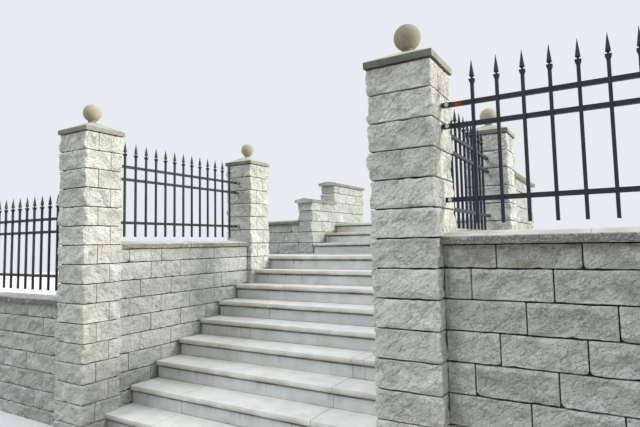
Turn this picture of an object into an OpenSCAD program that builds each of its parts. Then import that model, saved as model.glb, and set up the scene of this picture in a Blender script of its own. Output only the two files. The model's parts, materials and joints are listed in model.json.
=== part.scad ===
// Entrance stair with a block balustrade: capped pillars with stone balls, coped walls and
// spear-topped iron railing panels. X runs along the street front, Y runs up the stair.
// The origin is on the ground, in the middle of the whole assembly.

/* [Pillars] */
// Side of a pillar shaft, one block
pillar_w = 390; // [300:5:480]
// Number of courses of a pillar above the landing, up to the underside of its cap
pillar_courses = 7; // [6:1:9]
// Clear distance between the two front pillars, which is the way up
stair_clear = 2670; // [2200:10:3200]
// Distance from the last nose of the lower flight to the back faces of the back pillars
nose_back = 13; // [5:1:60]
// Clear length of a garden wall between two pillars
garden_bay = 2350; // [1200:10:3600]

/* [Cap and ball] */
// How far a cap stands out past its shaft
cap_over = 15; // [5:1:40]
// Height of the upright edge of a cap
cap_edge = 42; // [25:1:70]
// Rise of the sloping top of a cap, from its edge to its flat seat
cap_rise = 80; // [40:1:120]
// Side of the flat seat in the middle of a cap
cap_seat = 76; // [70:1:110]
// Diameter of the stone ball
ball_d = 166; // [120:1:220]
// Diameter of the short neck under a ball
neck_d = 64; // [40:1:70]
// Height of neck that shows between a cap and its ball
neck_h = 13; // [5:1:30]

/* [Block work] */
// Height of one course with its joint
course_h = 169; // [140:1:220]
// Height of a bed joint
joint_h = 8; // [4:1:14]
// Depth of a raked bed joint
joint_d = 8; // [3:1:14]
// Thickness of the stair walls, landing walls and parapets
wall_t = 260; // [200:5:290]
// Thickness of the garden walls
garden_wall_t = 180; // [140:5:250]
// How far the underside of each coping lies below a course line
coping_drop = 34; // [20:1:60]
// Number of courses from the landing to the coping of the stair walls and right garden wall
wall_courses = 1; // [1:1:3]
// Number of courses by which the left garden wall is lower
left_drop = 3; // [1:1:4]
// Number of courses from the landing to the coping of the landing wall and lower parapets
parapet_courses = 5; // [4:1:6]
// Number of courses between the lower and the upper part of a parapet
parapet_step = 2; // [1:1:3]
// Number of courses by which the low wall behind the landing is lower than a parapet
cross_drop = 2; // [1:1:3]
// How far the landing wall stands back from the outer face of its pillar
landing_wall_set = 35; // [20:1:60]
// How far the corner of the landing wall runs past the first nose of the upper flight
corner_past = 35; // [10:1:80]

/* [Coping] */
// How far a coping stands out past its wall
coping_over = 38; // [20:1:60]
// Height of the upright edge of a coping
coping_edge = 42; // [25:1:70]
// Rise of the ridge of a coping above its edges
coping_rise = 30; // [10:1:60]
// Width of the drip groove under a coping and a tread
drip_w = 8; // [4:1:12]
// Depth of the drip groove
drip_d = 6; // [3:1:10]

/* [Steps] */
// Height from one step to the next
riser_h = 163; // [140:1:175]
// Number of risers up to the landing
lower_count = 9; // [7:1:11]
// Number of risers above the landing
upper_count = 3; // [2:1:4]
// Going of the lower flight, from nose to nose
going = 312; // [295:1:325]
// Going of the upper flight
upper_going = 390; // [330:1:420]
// Thickness of a tread slab
tread_t = 45; // [30:1:60]
// Thickness of a riser slab
riser_t = 30; // [20:1:40]
// How far a tread stands out past its riser
nosing = 25; // [15:1:35]
// Bevel of the edges of a tread's nose
nose_bevel = 4; // [1:1:8]
// Distance from the front faces of the front pillars to the nose of the first tread
first_nose = 231; // [180:1:260]
// Depth of the landing, from the last nose of the lower flight to the upper flight
landing_d = 1423; // [1200:1:2000]
// Distance from the middle of the stair to the left end of the landing
landing_left = 2800; // [2400:10:3400]
// Distance from the middle of the stair to the face of the left parapet
upper_left = 1500; // [1350:5:1600]
// Distance from the middle of the stair to the face of the right parapet
upper_right = 1000; // [700:5:1080]
// Depth of the upper flight and its top landing, up to the house
upper_d = 1950; // [1500:10:2500]

/* [Railing] */
// Side of a square picket
picket = 18; // [12:1:22]
// Distance from picket to picket
picket_pitch = 133; // [100:1:180]
// Least distance from a pillar to the first picket
picket_margin = 150; // [90:1:200]
// Height of a picket's tip above the top of the wall
tip_up = 1056; // [980:1:1100]
// Gap between the ridge of the coping and the foot of a picket
foot_gap = 42; // [20:1:60]
// Height of the middle of the top rail above the top of the wall
top_rail_up = 808; // [780:1:830]
// Distance from the top rail down to the middle rail
mid_rail_down = 126; // [100:1:200]
// Height of the middle of the low rail above the top of the wall
low_rail_up = 253; // [200:1:320]
// Height of a rail
rail_h = 27; // [20:1:40]
// Depth of a rail
rail_d = 20; // [14:1:30]
// How far the pickets stand out in front of the rails
picket_proud = 6; // [2:1:8]
// Length of the point of a spear
point_l = 108; // [80:1:140]
// Width of a point at its base
point_w = 25; // [22:1:34]
// Height of the thin neck under a point
spear_neck_h = 11; // [6:1:16]
// Width of the thin neck
spear_neck_w = 10; // [6:1:12]
// Height of the cup below the neck
cup_h = 28; // [16:1:40]
// Width of the cup at its top
cup_w = 31; // [26:1:38]
// Length of a wall tab
tab_l = 60; // [45:1:80]
// Thickness of a wall tab
tab_t = 8; // [5:1:12]
// Width of a tab's bolt across its head
bolt_w = 18; // [13:1:20]
// Height of a bolt's head
bolt_h = 6; // [4:1:10]
// How far a washer stands out past its bolt
washer_over = 3; // [1:1:4]
// Thickness of a washer
washer_t = 2; // [1:1:4]

/* [Hidden] */
$fn = 96;
stone_grey = "#bdbcb0";
slab_grey = "#cfcfc9";
cap_grey = "#8f8c80";
ball_cream = "#cdc6a8";
iron_black = "#1d2329";

// Levels above the ground, counted in risers up to the landings and in courses from there
landing_z = lower_count * riser_h;
top_z = landing_z + upper_count * riser_h;
shaft_h = landing_z + pillar_courses * course_h;
wall_top = landing_z + wall_courses * course_h - coping_drop;
left_wall_top = wall_top - left_drop * course_h;
parapet_top = landing_z + parapet_courses * course_h - coping_drop;
cross_top = parapet_top - cross_drop * course_h;
upper_parapet_top = parapet_top + parapet_step * course_h;

// Places across the stair, measured from its middle
pillar_x = (stair_clear + pillar_w) / 2;
end_x = pillar_x + pillar_w + garden_bay;
wall_inner = pillar_x - wall_t / 2;
landing_wall_x = pillar_x + (pillar_w - wall_t) / 2 - landing_wall_set;
landing_wall_in = landing_wall_x - wall_t / 2;

// Places up the stair, measured from the front faces of the front pillars
last_nose = first_nose + (lower_count - 1) * going;
lower_end = last_nose + nosing + riser_t;
back_row_end = last_nose + nose_back;
row_pitch = back_row_end - pillar_w;
stair_bay = row_pitch - pillar_w;
row_front = pillar_w / 2;
row_back = row_pitch + pillar_w / 2;
upper_y = last_nose + landing_d;
return_end = upper_y + corner_past;
return_start = return_end - wall_t;
parapet_turn = upper_y + (upper_count - 1) * upper_going;
rear_y = upper_y + upper_d;
middle_y = (rear_y - cap_over) / 2;

// Outline of a course-built wall, seen from its end, with raked bed joints on both faces.
// Course lines run level through the whole assembly, counted from the landing.
module course_outline(thick, high) {
    least = course_h / 4;
    lowest = ceil((least - landing_z) / course_h);
    highest = floor((high - least - landing_z) / course_h);
    difference() {
        translate([-thick / 2, 0])
            square([thick, high]);
        for (k = [lowest : highest])
            for (side = [-1, 1])
                translate([side * thick / 2, landing_z + k * course_h])
                    square([2 * joint_d, joint_h], center = true);
    }
}

// Wall along X from x0 to x1, centred on y
module wall_along_x(x0, x1, y, thick, high) {
    translate([x0, y, 0])
        rotate([90, 0, 90])
            linear_extrude(x1 - x0)
                course_outline(thick, high);
}

// Wall along Y from y0 to y1, centred on x
module wall_along_y(x, y0, y1, thick, high) {
    translate([x, y1, 0])
        rotate([90, 0, 0])
            linear_extrude(y1 - y0)
                course_outline(thick, high);
}

// Square shaft of single blocks: the two wall outlines crossed, so each joint runs round
module shaft(x, y) {
    intersection() {
        wall_along_x(x - pillar_w / 2, x + pillar_w / 2, y, pillar_w, shaft_h);
        wall_along_y(x, y - pillar_w / 2, y + pillar_w / 2, pillar_w, shaft_h);
    }
}

// Outline of a cap from the side: upright edge, slope and flat seat
module cap_outline() {
    half = pillar_w / 2 + cap_over;
    top = cap_edge + cap_rise;
    seat = cap_seat / 2;
    polygon([[-half, 0], [half, 0], [half, cap_edge], [seat, top], [-seat, top], [-half, cap_edge]]);
}

// Pyramid cap: the same outline crossed in both directions
module cap(x, y) {
    side = pillar_w + 2 * cap_over;
    translate([x, y, shaft_h]) {
        intersection() {
            rotate([90, 0, 0])
                linear_extrude(side, center = true)
                    cap_outline();
            rotate([90, 0, 90])
                linear_extrude(side, center = true)
                    cap_outline();
        }
    }
}

// Stone ball on its short neck
module ball(x, y) {
    seat_z = shaft_h + cap_edge + cap_rise;
    translate([x, y, seat_z]) {
        cylinder(h = neck_h + ball_d / 4, d = neck_d);
        translate([0, 0, neck_h + ball_d / 2])
            sphere(d = ball_d);
    }
}

// Outline of a saddle coping on a wall, with a drip groove under each side
module coping_outline(thick) {
    half = thick / 2 + coping_over;
    drip_x = thick / 2 + coping_over / 2;
    difference() {
        polygon([[-half, 0], [half, 0], [half, coping_edge], [0, coping_edge + coping_rise], [-half, coping_edge]]);
        for (side = [-1, 1])
            translate([side * drip_x - drip_w / 2, -drip_d])
                square([drip_w, 2 * drip_d]);
    }
}

module coping_along_x(x0, x1, y, z, thick) {
    translate([x0, y, z])
        rotate([90, 0, 90])
            linear_extrude(x1 - x0)
                coping_outline(thick);
}

module coping_along_y(x, y0, y1, z, thick) {
    translate([x, y1, z])
        rotate([90, 0, 0])
            linear_extrude(y1 - y0)
                coping_outline(thick);
}

// Outline of a picket from its foot to its tip: bar, cup, thin neck and point
module picket_outline(foot, tip) {
    base = tip - point_l;
    neck = base - spear_neck_h;
    cup = neck - cup_h;
    right = [
        [picket / 2, foot], [picket / 2, cup], [cup_w / 2, neck - cup_h / 4], [cup_w / 2, neck],
        [spear_neck_w / 2, neck], [spear_neck_w / 2, base], [point_w / 2, base + point_w / 4]
    ];
    left = [for (i = [len(right) - 1 : -1 : 0]) [-right[i][0], right[i][1]]];
    polygon(concat(right, [[0, tip]], left));
}

// Square forged picket: its outline crossed in both directions
module spear(foot, tip) {
    wide = 2 * cup_w;
    intersection() {
        rotate([90, 0, 0])
            linear_extrude(wide, center = true)
                picket_outline(foot, tip);
        rotate([90, 0, 90])
            linear_extrude(wide, center = true)
                picket_outline(foot, tip);
    }
}

// Tab that comes out of a pillar, bolted to the end of a rail
module wall_tab() {
    translate([0, -tab_t, -rail_h / 2])
        cube([tab_l, tab_t, rail_h]);
    translate([tab_l / 2, 0, 0])
        rotate([90, 0, 0]) {
            cylinder(h = tab_t + washer_t, d = bolt_w + 2 * washer_over);
            cylinder(h = tab_t + washer_t + bolt_h, d = bolt_w, $fn = 6);
        }
}

// Railing panel along X from 0 to length, with its public side towards -Y.
// Its level 0 is the top of the wall under the coping.
module railing(length) {
    foot = coping_edge + coping_rise + foot_gap;
    count = floor((length - 2 * picket_margin) / picket_pitch) + 1;
    first = (length - (count - 1) * picket_pitch) / 2;
    rail_y = picket_proud - picket / 2;
    rail_levels = [top_rail_up, top_rail_up - mid_rail_down, low_rail_up];
    for (i = [0 : count - 1])
        translate([first + i * picket_pitch, 0, 0])
            spear(foot, tip_up);
    for (z = rail_levels) {
        translate([0, rail_y, z - rail_h / 2])
            cube([length, rail_d, rail_h]);
        translate([0, rail_y, z])
            wall_tab();
        translate([length, rail_y, z])
            mirror([1, 0, 0])
                wall_tab();
    }
}

// Moves what is measured from the street front to the middle of the assembly
module placed() {
    translate([0, -middle_y, 0])
        children();
}

// Box given by its two corners
module block(low, high) {
    translate(low)
        cube(high - low);
}

// Room taken up by the four pillars of the stair
module pillar_room() {
    for (x = [-pillar_x, pillar_x])
        for (y = [row_front, row_back])
            block([x - pillar_w / 2, y - pillar_w / 2, 0], [x + pillar_w / 2, y + pillar_w / 2, shaft_h]);
}

function nose_y(i) = first_nose + (i - 1) * going;
function upper_nose_y(i) = upper_y + (i - 1) * upper_going;

// Outline of a tread from the side: bevelled nose and drip groove, its underside at level 0
module tread_outline(depth) {
    b = nose_bevel;
    difference() {
        polygon([[0, b], [b, 0], [depth, 0], [depth, tread_t], [b, tread_t], [0, tread_t - b]]);
        translate([(nosing - drip_w) / 2 + b / 2, -drip_d])
            square([drip_w, 2 * drip_d]);
    }
}

module tread(x0, x1, y0, y1, top) {
    translate([x0, y0, top - tread_t])
        rotate([90, 0, 90])
            linear_extrude(x1 - x0)
                tread_outline(y1 - y0);
}

module riser(x0, x1, nose, foot) {
    block([x0, nose + nosing, foot], [x1, nose + nosing + riser_t, foot + riser_h - tread_t]);
}

// Stepped outline under a flight, from its front face to its back, standing on the ground
module core_outline(count, start, step, base, back) {
    steps = [
        for (i = [1 : count])
            for (level = [i - 1, i])
                [start + (i - 1) * step, level == 0 ? 0 : base + level * riser_h - tread_t]
    ];
    polygon(concat(steps, [[back, base + count * riser_h - tread_t], [back, 0]]));
}

module core(x0, x1, count, start, step, base, back) {
    translate([x0, 0, 0])
        rotate([90, 0, 90])
            linear_extrude(x1 - x0)
                core_outline(count, start, step, base, back);
}

// Plan of the landing behind the lower flight, from the given front line
module landing_plan(front) {
    difference() {
        union() {
            translate([-landing_left, back_row_end])
                square([landing_left + landing_wall_in, upper_y - back_row_end]);
            translate([-wall_inner, front])
                square([2 * wall_inner, upper_y - front]);
            translate([-upper_left, front])
                square([upper_left + upper_right, upper_y + nosing + riser_t - front]);
        }
        translate([-wall_inner, 0])
            square([2 * wall_inner, front]);
        translate([upper_right, return_start])
            square([landing_wall_in - upper_right, wall_t]);
    }
}

module pillar_front_left() { color(stone_grey) placed() shaft(-pillar_x, row_front); }
module pillar_front_right() { color(stone_grey) placed() shaft(pillar_x, row_front); }
module pillar_back_left() { color(stone_grey) placed() shaft(-pillar_x, row_back); }
module pillar_back_right() { color(stone_grey) placed() shaft(pillar_x, row_back); }
module pillar_end_left() { color(stone_grey) placed() shaft(-end_x, row_front); }
module pillar_end_right() { color(stone_grey) placed() shaft(end_x, row_front); }

module cap_front_left() { color(cap_grey) placed() cap(-pillar_x, row_front); }
module cap_front_right() { color(cap_grey) placed() cap(pillar_x, row_front); }
module cap_back_left() { color(cap_grey) placed() cap(-pillar_x, row_back); }
module cap_back_right() { color(cap_grey) placed() cap(pillar_x, row_back); }
module cap_end_left() { color(cap_grey) placed() cap(-end_x, row_front); }
module cap_end_right() { color(cap_grey) placed() cap(end_x, row_front); }

module ball_front_left() { color(ball_cream) placed() ball(-pillar_x, row_front); }
module ball_front_right() { color(ball_cream) placed() ball(pillar_x, row_front); }
module ball_back_left() { color(ball_cream) placed() ball(-pillar_x, row_back); }
module ball_back_right() { color(ball_cream) placed() ball(pillar_x, row_back); }
module ball_end_left() { color(ball_cream) placed() ball(-end_x, row_front); }
module ball_end_right() { color(ball_cream) placed() ball(end_x, row_front); }

// Ends of the garden walls, between the faces of their two pillars
bay_near = pillar_x + pillar_w / 2;
bay_far = end_x - pillar_w / 2;

module garden_wall_left() {
    color(stone_grey) placed()
        wall_along_x(-bay_far, -bay_near, row_front, garden_wall_t, left_wall_top);
}

module garden_wall_right() {
    color(stone_grey) placed()
        wall_along_x(bay_near, bay_far, row_front, garden_wall_t, wall_top);
}

module stair_wall_left() {
    color(stone_grey) placed()
        wall_along_y(-pillar_x, pillar_w, row_pitch, wall_t, wall_top);
}

module stair_wall_right() {
    color(stone_grey) placed()
        wall_along_y(pillar_x, pillar_w, row_pitch, wall_t, wall_top);
}

module garden_coping_left() {
    color(slab_grey) placed()
        coping_along_x(-bay_far, -bay_near, row_front, left_wall_top, garden_wall_t);
}

module garden_coping_right() {
    color(slab_grey) placed()
        coping_along_x(bay_near, bay_far, row_front, wall_top, garden_wall_t);
}

module stair_coping_left() {
    color(slab_grey) placed()
        coping_along_y(-pillar_x, pillar_w, row_pitch, wall_top, wall_t);
}

module stair_coping_right() {
    color(slab_grey) placed()
        coping_along_y(pillar_x, pillar_w, row_pitch, wall_top, wall_t);
}

module garden_railing_left() {
    color(iron_black) placed()
        translate([-bay_far, row_front, left_wall_top])
            railing(garden_bay);
}

module garden_railing_right() {
    color(iron_black) placed()
        translate([bay_near, row_front, wall_top])
            railing(garden_bay);
}

module stair_railing_left() {
    color(iron_black) placed()
        translate([-pillar_x, pillar_w, wall_top])
            rotate([0, 0, 90])
                railing(stair_bay);
}

module stair_railing_right() {
    color(iron_black) placed()
        translate([pillar_x, row_pitch, wall_top])
            rotate([0, 0, -90])
                railing(stair_bay);
}

module lower_core() {
    color(stone_grey) placed()
        difference() {
            core(-wall_inner, wall_inner, lower_count - 1, first_nose + nosing + riser_t, going, 0, lower_end);
            pillar_room();
        }
}

module lower_treads() {
    color(slab_grey) placed()
        difference() {
            for (i = [1 : lower_count - 1])
                tread(-wall_inner, wall_inner, nose_y(i), nose_y(i + 1) + nosing + riser_t, i * riser_h);
            pillar_room();
        }
}

module lower_risers() {
    color(slab_grey) placed()
        difference() {
            for (i = [1 : lower_count])
                riser(-wall_inner, wall_inner, nose_y(i), (i - 1) * riser_h);
            pillar_room();
        }
}

module landing_core() {
    color(stone_grey) placed()
        difference() {
            linear_extrude(landing_z - tread_t)
                landing_plan(lower_end);
            pillar_room();
        }
}

module landing_slab() {
    color(slab_grey) placed()
        difference() {
            union() {
                tread(-wall_inner, wall_inner, last_nose, lower_end, landing_z);
                translate([0, 0, landing_z - tread_t])
                    linear_extrude(tread_t)
                        landing_plan(lower_end);
            }
            pillar_room();
        }
}

module landing_wall_left() {
    color(stone_grey) placed()
        wall_along_x(-landing_left, -upper_left - wall_t, upper_y + wall_t / 2, wall_t, cross_top);
}

module landing_coping_left() {
    color(slab_grey) placed()
        coping_along_x(-landing_left - coping_over, -upper_left - wall_t, upper_y + wall_t / 2, cross_top, wall_t);
}

// Wall beside the landing, which turns the corner to the foot of the upper flight
module landing_wall_right() {
    color(stone_grey) placed() {
        wall_along_y(landing_wall_x, back_row_end, return_end, wall_t, parapet_top);
        wall_along_x(upper_right, landing_wall_x, return_end - wall_t / 2, wall_t, parapet_top);
    }
}

module landing_coping_right() {
    color(slab_grey) placed() {
        coping_along_y(landing_wall_x, back_row_end, return_end + coping_over, parapet_top, wall_t);
        coping_along_x(upper_right - coping_over, landing_wall_x, return_end - wall_t / 2, parapet_top, wall_t);
    }
}

module upper_core() {
    color(stone_grey) placed()
        core(-upper_left, upper_right, upper_count, upper_y + nosing + riser_t, upper_going, landing_z, rear_y);
}

module upper_treads() {
    color(slab_grey) placed()
        for (i = [1 : upper_count])
            tread(-upper_left, upper_right, upper_nose_y(i),
                i < upper_count ? upper_nose_y(i + 1) + nosing + riser_t : rear_y, landing_z + i * riser_h);
}

module upper_risers() {
    color(slab_grey) placed()
        for (i = [1 : upper_count])
            riser(-upper_left, upper_right, upper_nose_y(i), landing_z + (i - 1) * riser_h);
}

// Parapet beside the upper flight: a low length, then a length that is some courses higher
module parapet(x, front) {
    wall_along_y(x, front, parapet_turn, wall_t, parapet_top);
    wall_along_y(x, parapet_turn, rear_y, wall_t, upper_parapet_top);
}

module parapet_coping(x, front) {
    coping_along_y(x, front, parapet_turn, parapet_top, wall_t);
    coping_along_y(x, parapet_turn - coping_over, rear_y, upper_parapet_top, wall_t);
}

module parapet_left() { color(stone_grey) placed() parapet(-upper_left - wall_t / 2, upper_y); }
module parapet_right() { color(stone_grey) placed() parapet(upper_right + wall_t / 2, return_end); }

module parapet_coping_left() {
    color(slab_grey) placed()
        parapet_coping(-upper_left - wall_t / 2, upper_y - coping_over);
}

module parapet_coping_right() {
    color(slab_grey) placed()
        parapet_coping(upper_right + wall_t / 2, return_end + coping_over);
}

pillar_front_left();
pillar_front_right();
pillar_back_left();
pillar_back_right();
pillar_end_left();
pillar_end_right();
cap_front_left();
cap_front_right();
cap_back_left();
cap_back_right();
cap_end_left();
cap_end_right();
ball_front_left();
ball_front_right();
ball_back_left();
ball_back_right();
ball_end_left();
ball_end_right();
garden_wall_left();
garden_wall_right();
stair_wall_left();
stair_wall_right();
garden_coping_left();
garden_coping_right();
stair_coping_left();
stair_coping_right();
garden_railing_left();
garden_railing_right();
stair_railing_left();
stair_railing_right();
lower_core();
lower_treads();
lower_risers();
landing_core();
landing_slab();
landing_wall_left();
landing_coping_left();
landing_wall_right();
landing_coping_right();
upper_core();
upper_treads();
upper_risers();
parapet_left();
parapet_right();
parapet_coping_left();
parapet_coping_right();
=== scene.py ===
# %% [markdown]
# # Split stone stair with its balustrade
# This lesson dresses the exact solids of a garden stair: block pillars with caps and balls, block
# walls with sloping copings, slab steps and spear railings. The solids arrive as a fixed frame.
# Each mason's piece is then modelled the way it is made, block by block, and takes the place of
# its solid. The ironwork is already right in the frame, so it only needs its paint.

# %% Load the fixed frame
import json
import math
import random

import bmesh
import bpy
import numpy as np
from mathutils import Matrix, Vector

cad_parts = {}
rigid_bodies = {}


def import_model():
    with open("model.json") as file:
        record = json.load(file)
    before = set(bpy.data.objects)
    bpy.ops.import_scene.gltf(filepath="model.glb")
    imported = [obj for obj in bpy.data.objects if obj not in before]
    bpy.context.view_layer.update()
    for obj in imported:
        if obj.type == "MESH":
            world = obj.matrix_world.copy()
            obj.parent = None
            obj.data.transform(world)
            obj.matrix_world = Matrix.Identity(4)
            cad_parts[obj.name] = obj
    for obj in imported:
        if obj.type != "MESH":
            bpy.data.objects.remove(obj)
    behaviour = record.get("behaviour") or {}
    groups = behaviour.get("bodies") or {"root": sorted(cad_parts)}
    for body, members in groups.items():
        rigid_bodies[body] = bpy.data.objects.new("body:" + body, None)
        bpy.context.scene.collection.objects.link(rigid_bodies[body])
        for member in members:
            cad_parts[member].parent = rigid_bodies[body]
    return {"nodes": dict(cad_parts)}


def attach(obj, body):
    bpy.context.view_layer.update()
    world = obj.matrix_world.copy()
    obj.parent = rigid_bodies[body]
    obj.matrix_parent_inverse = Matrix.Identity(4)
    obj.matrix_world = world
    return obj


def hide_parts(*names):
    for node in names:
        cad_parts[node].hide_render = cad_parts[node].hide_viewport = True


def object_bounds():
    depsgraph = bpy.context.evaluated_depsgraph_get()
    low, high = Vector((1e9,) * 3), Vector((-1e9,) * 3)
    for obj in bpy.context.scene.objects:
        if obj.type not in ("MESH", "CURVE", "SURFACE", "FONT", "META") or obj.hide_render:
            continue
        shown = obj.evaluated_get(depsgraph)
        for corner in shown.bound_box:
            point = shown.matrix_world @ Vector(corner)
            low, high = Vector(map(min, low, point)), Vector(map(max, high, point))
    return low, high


for leftover in list(bpy.data.objects):
    bpy.data.objects.remove(leftover)
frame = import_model()
cad_box = [list(corner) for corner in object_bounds()]
print("box of the solids", cad_box)

# %% [markdown]
# ## The measures that the masonry keeps
# A mason works from one level. Here it is the landing: every bed joint of every wall and pillar
# lies a whole number of courses above or below it. The blocks are 400 mm from joint to joint and
# each course steps back by a third of a block, which gives the bond its slanting rhythm. Nothing
# in a wall is placed by eye, but every stone is a little off, so one seeded source of chance
# serves the whole lesson and gives the same stair each time.

# %% Set out the levels and the bond
LANDING = 1.467
SHAFT_TOP = 2.650
COURSE = 0.169
THINNEST_COURSE = 0.020
COURSES_ABOVE = 12
BLOCK = 0.400
BOND_SHIFT = 0.133
JOINT = 0.0070
chance = random.Random(7)


def sway(reach):
    """A little to either side."""
    return chance.uniform(-reach, reach)


def course_levels(top):
    """Bed levels from the ground to the top of a wall, measured from the landing."""
    levels = [0.0]
    for k in range(-int(LANDING / COURSE), COURSES_ABOVE):
        level = LANDING + k * COURSE
        if THINNEST_COURSE < level < top - THINNEST_COURSE:
            levels.append(level)
    return levels + [top]


print("courses in a pillar", len(course_levels(SHAFT_TOP)) - 1)

# %% [markdown]
# ## Finishes built from nodes
# Every finish on the stair is mineral or painted iron, so all of it can be grown from noise in
# the object's own coordinates, in metres: a noise of scale 50 makes grains of about 20 mm. A
# small bench of helper words keeps the node lists short. What several finishes share, such as
# the grain of cast stone, becomes a node group with named inputs, and each material then places
# that group with its own colours.

# %% A bench for nodes
class Bench:
    """Adds nodes to one tree with few words."""

    def __init__(self, tree):
        self.tree = tree

    def add(self, kind, values=None, **settings):
        made = self.tree.nodes.new(kind)
        for name, value in settings.items():
            setattr(made, name, value)
        for socket, value in (values or {}).items():
            self.feed(made.inputs[socket], value)
        return made

    def feed(self, socket, value):
        if isinstance(value, bpy.types.NodeSocket):
            self.tree.links.new(value, socket)
        else:
            socket.default_value = value

    def place(self):
        """The place on the object, in metres."""
        return self.add("ShaderNodeTexCoord").outputs["Object"]

    def parts(self, vector):
        return self.add("ShaderNodeSeparateXYZ", {0: vector}).outputs

    def facing(self):
        """The way the surface looks, as three numbers."""
        return self.parts(self.add("ShaderNodeNewGeometry").outputs["Normal"])

    def noise(self, scale, detail=3.0, stretch=None, rough=0.55, start=None):
        where = start or self.place()
        if stretch:
            where = self.add("ShaderNodeMapping", {"Vector": where, "Scale": stretch}).outputs[0]
        values = {"Vector": where, "Scale": scale, "Detail": detail, "Roughness": rough}
        return self.add("ShaderNodeTexNoise", values).outputs["Fac"]

    def between(self, value, low, high, start=0.0, end=1.0):
        """Goes softly from start to end while the value goes from low to high."""
        values = {0: value, 1: low, 2: high, 3: start, 4: end}
        return self.add("ShaderNodeMapRange", values, interpolation_type="SMOOTHSTEP").outputs[0]

    def math(self, operation, a, b=0.0):
        return self.add("ShaderNodeMath", {0: a, 1: b}, operation=operation).outputs[0]

    def times(self, a, b):
        return self.math("MULTIPLY", a, b)

    def plus(self, a, b):
        return self.math("ADD", a, b)

    def minus(self, a, b):
        return self.math("SUBTRACT", a, b)

    def most(self, a, b):
        return self.math("MAXIMUM", a, b)

    def mix(self, share, a, b, way="MIX"):
        made = self.add("ShaderNodeMix", data_type="RGBA", blend_type=way)
        for number, value in ((0, share), (6, a), (7, b)):
            self.feed(made.inputs[number], value)
        return made.outputs[2]

    def attribute(self, name):
        return self.add("ShaderNodeAttribute", attribute_name=name).outputs["Fac"]

    def group(self, name, values):
        return self.add("ShaderNodeGroup", values, node_tree=bpy.data.node_groups[name]).outputs

    def bump(self, strength, reach, height):
        values = {"Strength": strength, "Distance": reach, "Height": height}
        return self.add("ShaderNodeBump", values).outputs[0]

    def toned(self, color, tone, dark, light):
        """The colour made darker or lighter by the tone of the stone."""
        tone = self.between(tone, 0.0, 1.0, dark, light)
        shade = self.add("ShaderNodeCombineColor", {0: tone, 1: tone, 2: tone}).outputs[0]
        return self.mix(1.0, color, shade, "MULTIPLY")


# %% [markdown]
# Colours are written as they are read off a picture, 0 to 255, and turned into the linear values
# that Blender works with. A group opens with its named inputs and outputs already in place.

# %% Colours and empty groups
def rgb(red, green, blue):
    """A colour of 0 to 255 as Blender's linear values."""
    def linear(part):
        part /= 255
        return part / 12.92 if part <= 0.04045 else ((part + 0.055) / 1.055) ** 2.4
    return (linear(red), linear(green), linear(blue), 1.0)


def open_group(name, inputs, outputs):
    group = bpy.data.node_groups.new(name, "ShaderNodeTree")
    for label, kind, value in inputs:
        socket = group.interface.new_socket(label, in_out="INPUT", socket_type="NodeSocket" + kind)
        socket.default_value = value
    for label, kind in outputs:
        group.interface.new_socket(label, in_out="OUTPUT", socket_type="NodeSocket" + kind)
    bench = Bench(group)
    return bench, bench.add("NodeGroupInput").outputs, bench.add("NodeGroupOutput").inputs


# %% [markdown]
# ### Ledges of a break
# A break in stone does not swell like cloth: it runs in flakes, each a little deeper than the one
# beside it, with a sharp ledge between them. A noise is therefore cut into levels. Inside one
# level the surface is nearly flat, then it steps over to the next. A second noise lets the
# ledges fade out in places, or they would read as lines on a map. The flakes run slanting, so
# the place is turned first and stretched after. The group gives that height and a mask of the
# ledges themselves, where dirt gathers and where the shadow of each flake is painted.

# %% Group for ledges
SLANT = (0.5, 0.6, 0.2)
FLAKE_STRETCH = (0.55, 0.85, 1.55)
PATCH_SIZE = 0.7
FADED, KEPT = 0.35, 0.90

bench, given, made = open_group(
    "flaked_ledges",
    [("Place", "Vector", (0, 0, 0)), ("Scale", "Float", 20.0), ("Levels", "Float", 12.0)],
    [("Height", "Float"), ("Ledge", "Float")],
)
slanted = bench.add("ShaderNodeMapping", {"Vector": given["Place"], "Rotation": SLANT}).outputs[0]
form = bench.noise(given["Scale"], 4, FLAKE_STRETCH, start=slanted)
level = bench.times(form, given["Levels"])
inside = bench.math("FRACT", level)
stepped = bench.plus(bench.math("FLOOR", level), bench.between(inside, 0.40, 0.60))
patches = bench.noise(bench.times(given["Scale"], PATCH_SIZE), start=given["Place"])
sharp = bench.between(patches, 0.42, 0.58)
drop = bench.times(bench.minus(stepped, level), bench.between(sharp, 0.0, 1.0, FADED, KEPT))
bench.feed(made["Height"], bench.math("DIVIDE", bench.plus(level, drop), given["Levels"]))
ledge = bench.times(bench.between(inside, 0.22, 0.42), bench.between(inside, 0.78, 0.58))
bench.feed(made["Ledge"], bench.times(ledge, sharp))

# %% [markdown]
# ### The grain of split cast stone
# Split cast stone is crushed aggregate held in pale cement. Close to it one sees grains of 3 to
# 10 mm, some darker than the cement, with fine pits between them, and over that soft clouds where
# it has weathered. The big forms of the break are real geometry. The finish brings two sizes of
# ledges and the grain: smooth on some parts of a block and coarse on others. Each block takes its
# ledges from another place of the noise, because each broke by itself. Tone comes from the block,
# damp from the course under a coping, and margin pales the edge of each block, partly as wear
# and partly as a painted highlight where the edge catches the light.

# %% Group for split stone
FINISH_OUTPUTS = [("Color", "Color"), ("Height", "Float"), ("Roughness", "Float")]
GRAIN_INPUTS = [
    ("Light", "Color", rgb(214, 213, 203)),
    ("Dark", "Color", rgb(150, 150, 142)),
    ("Stain", "Color", rgb(120, 116, 92)),
    ("Stain Amount", "Float", 0.35),
    ("Streak Amount", "Float", 0.25),
    ("Grain Scale", "Float", 110.0),
    ("Smooth Part", "Float", 0.15),
]
OWN_PLACE = (13.0, 7.0, 29.0)
GRIT_TO_GRAIN = 2.6
LUMP_HIGH, BIG_HIGH, SMALL_HIGH = 0.35, 1.60, 0.74
GRAIN_HIGH, GRIT_HIGH, PIT_DEEP = 0.19, 0.05, 0.12

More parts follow.
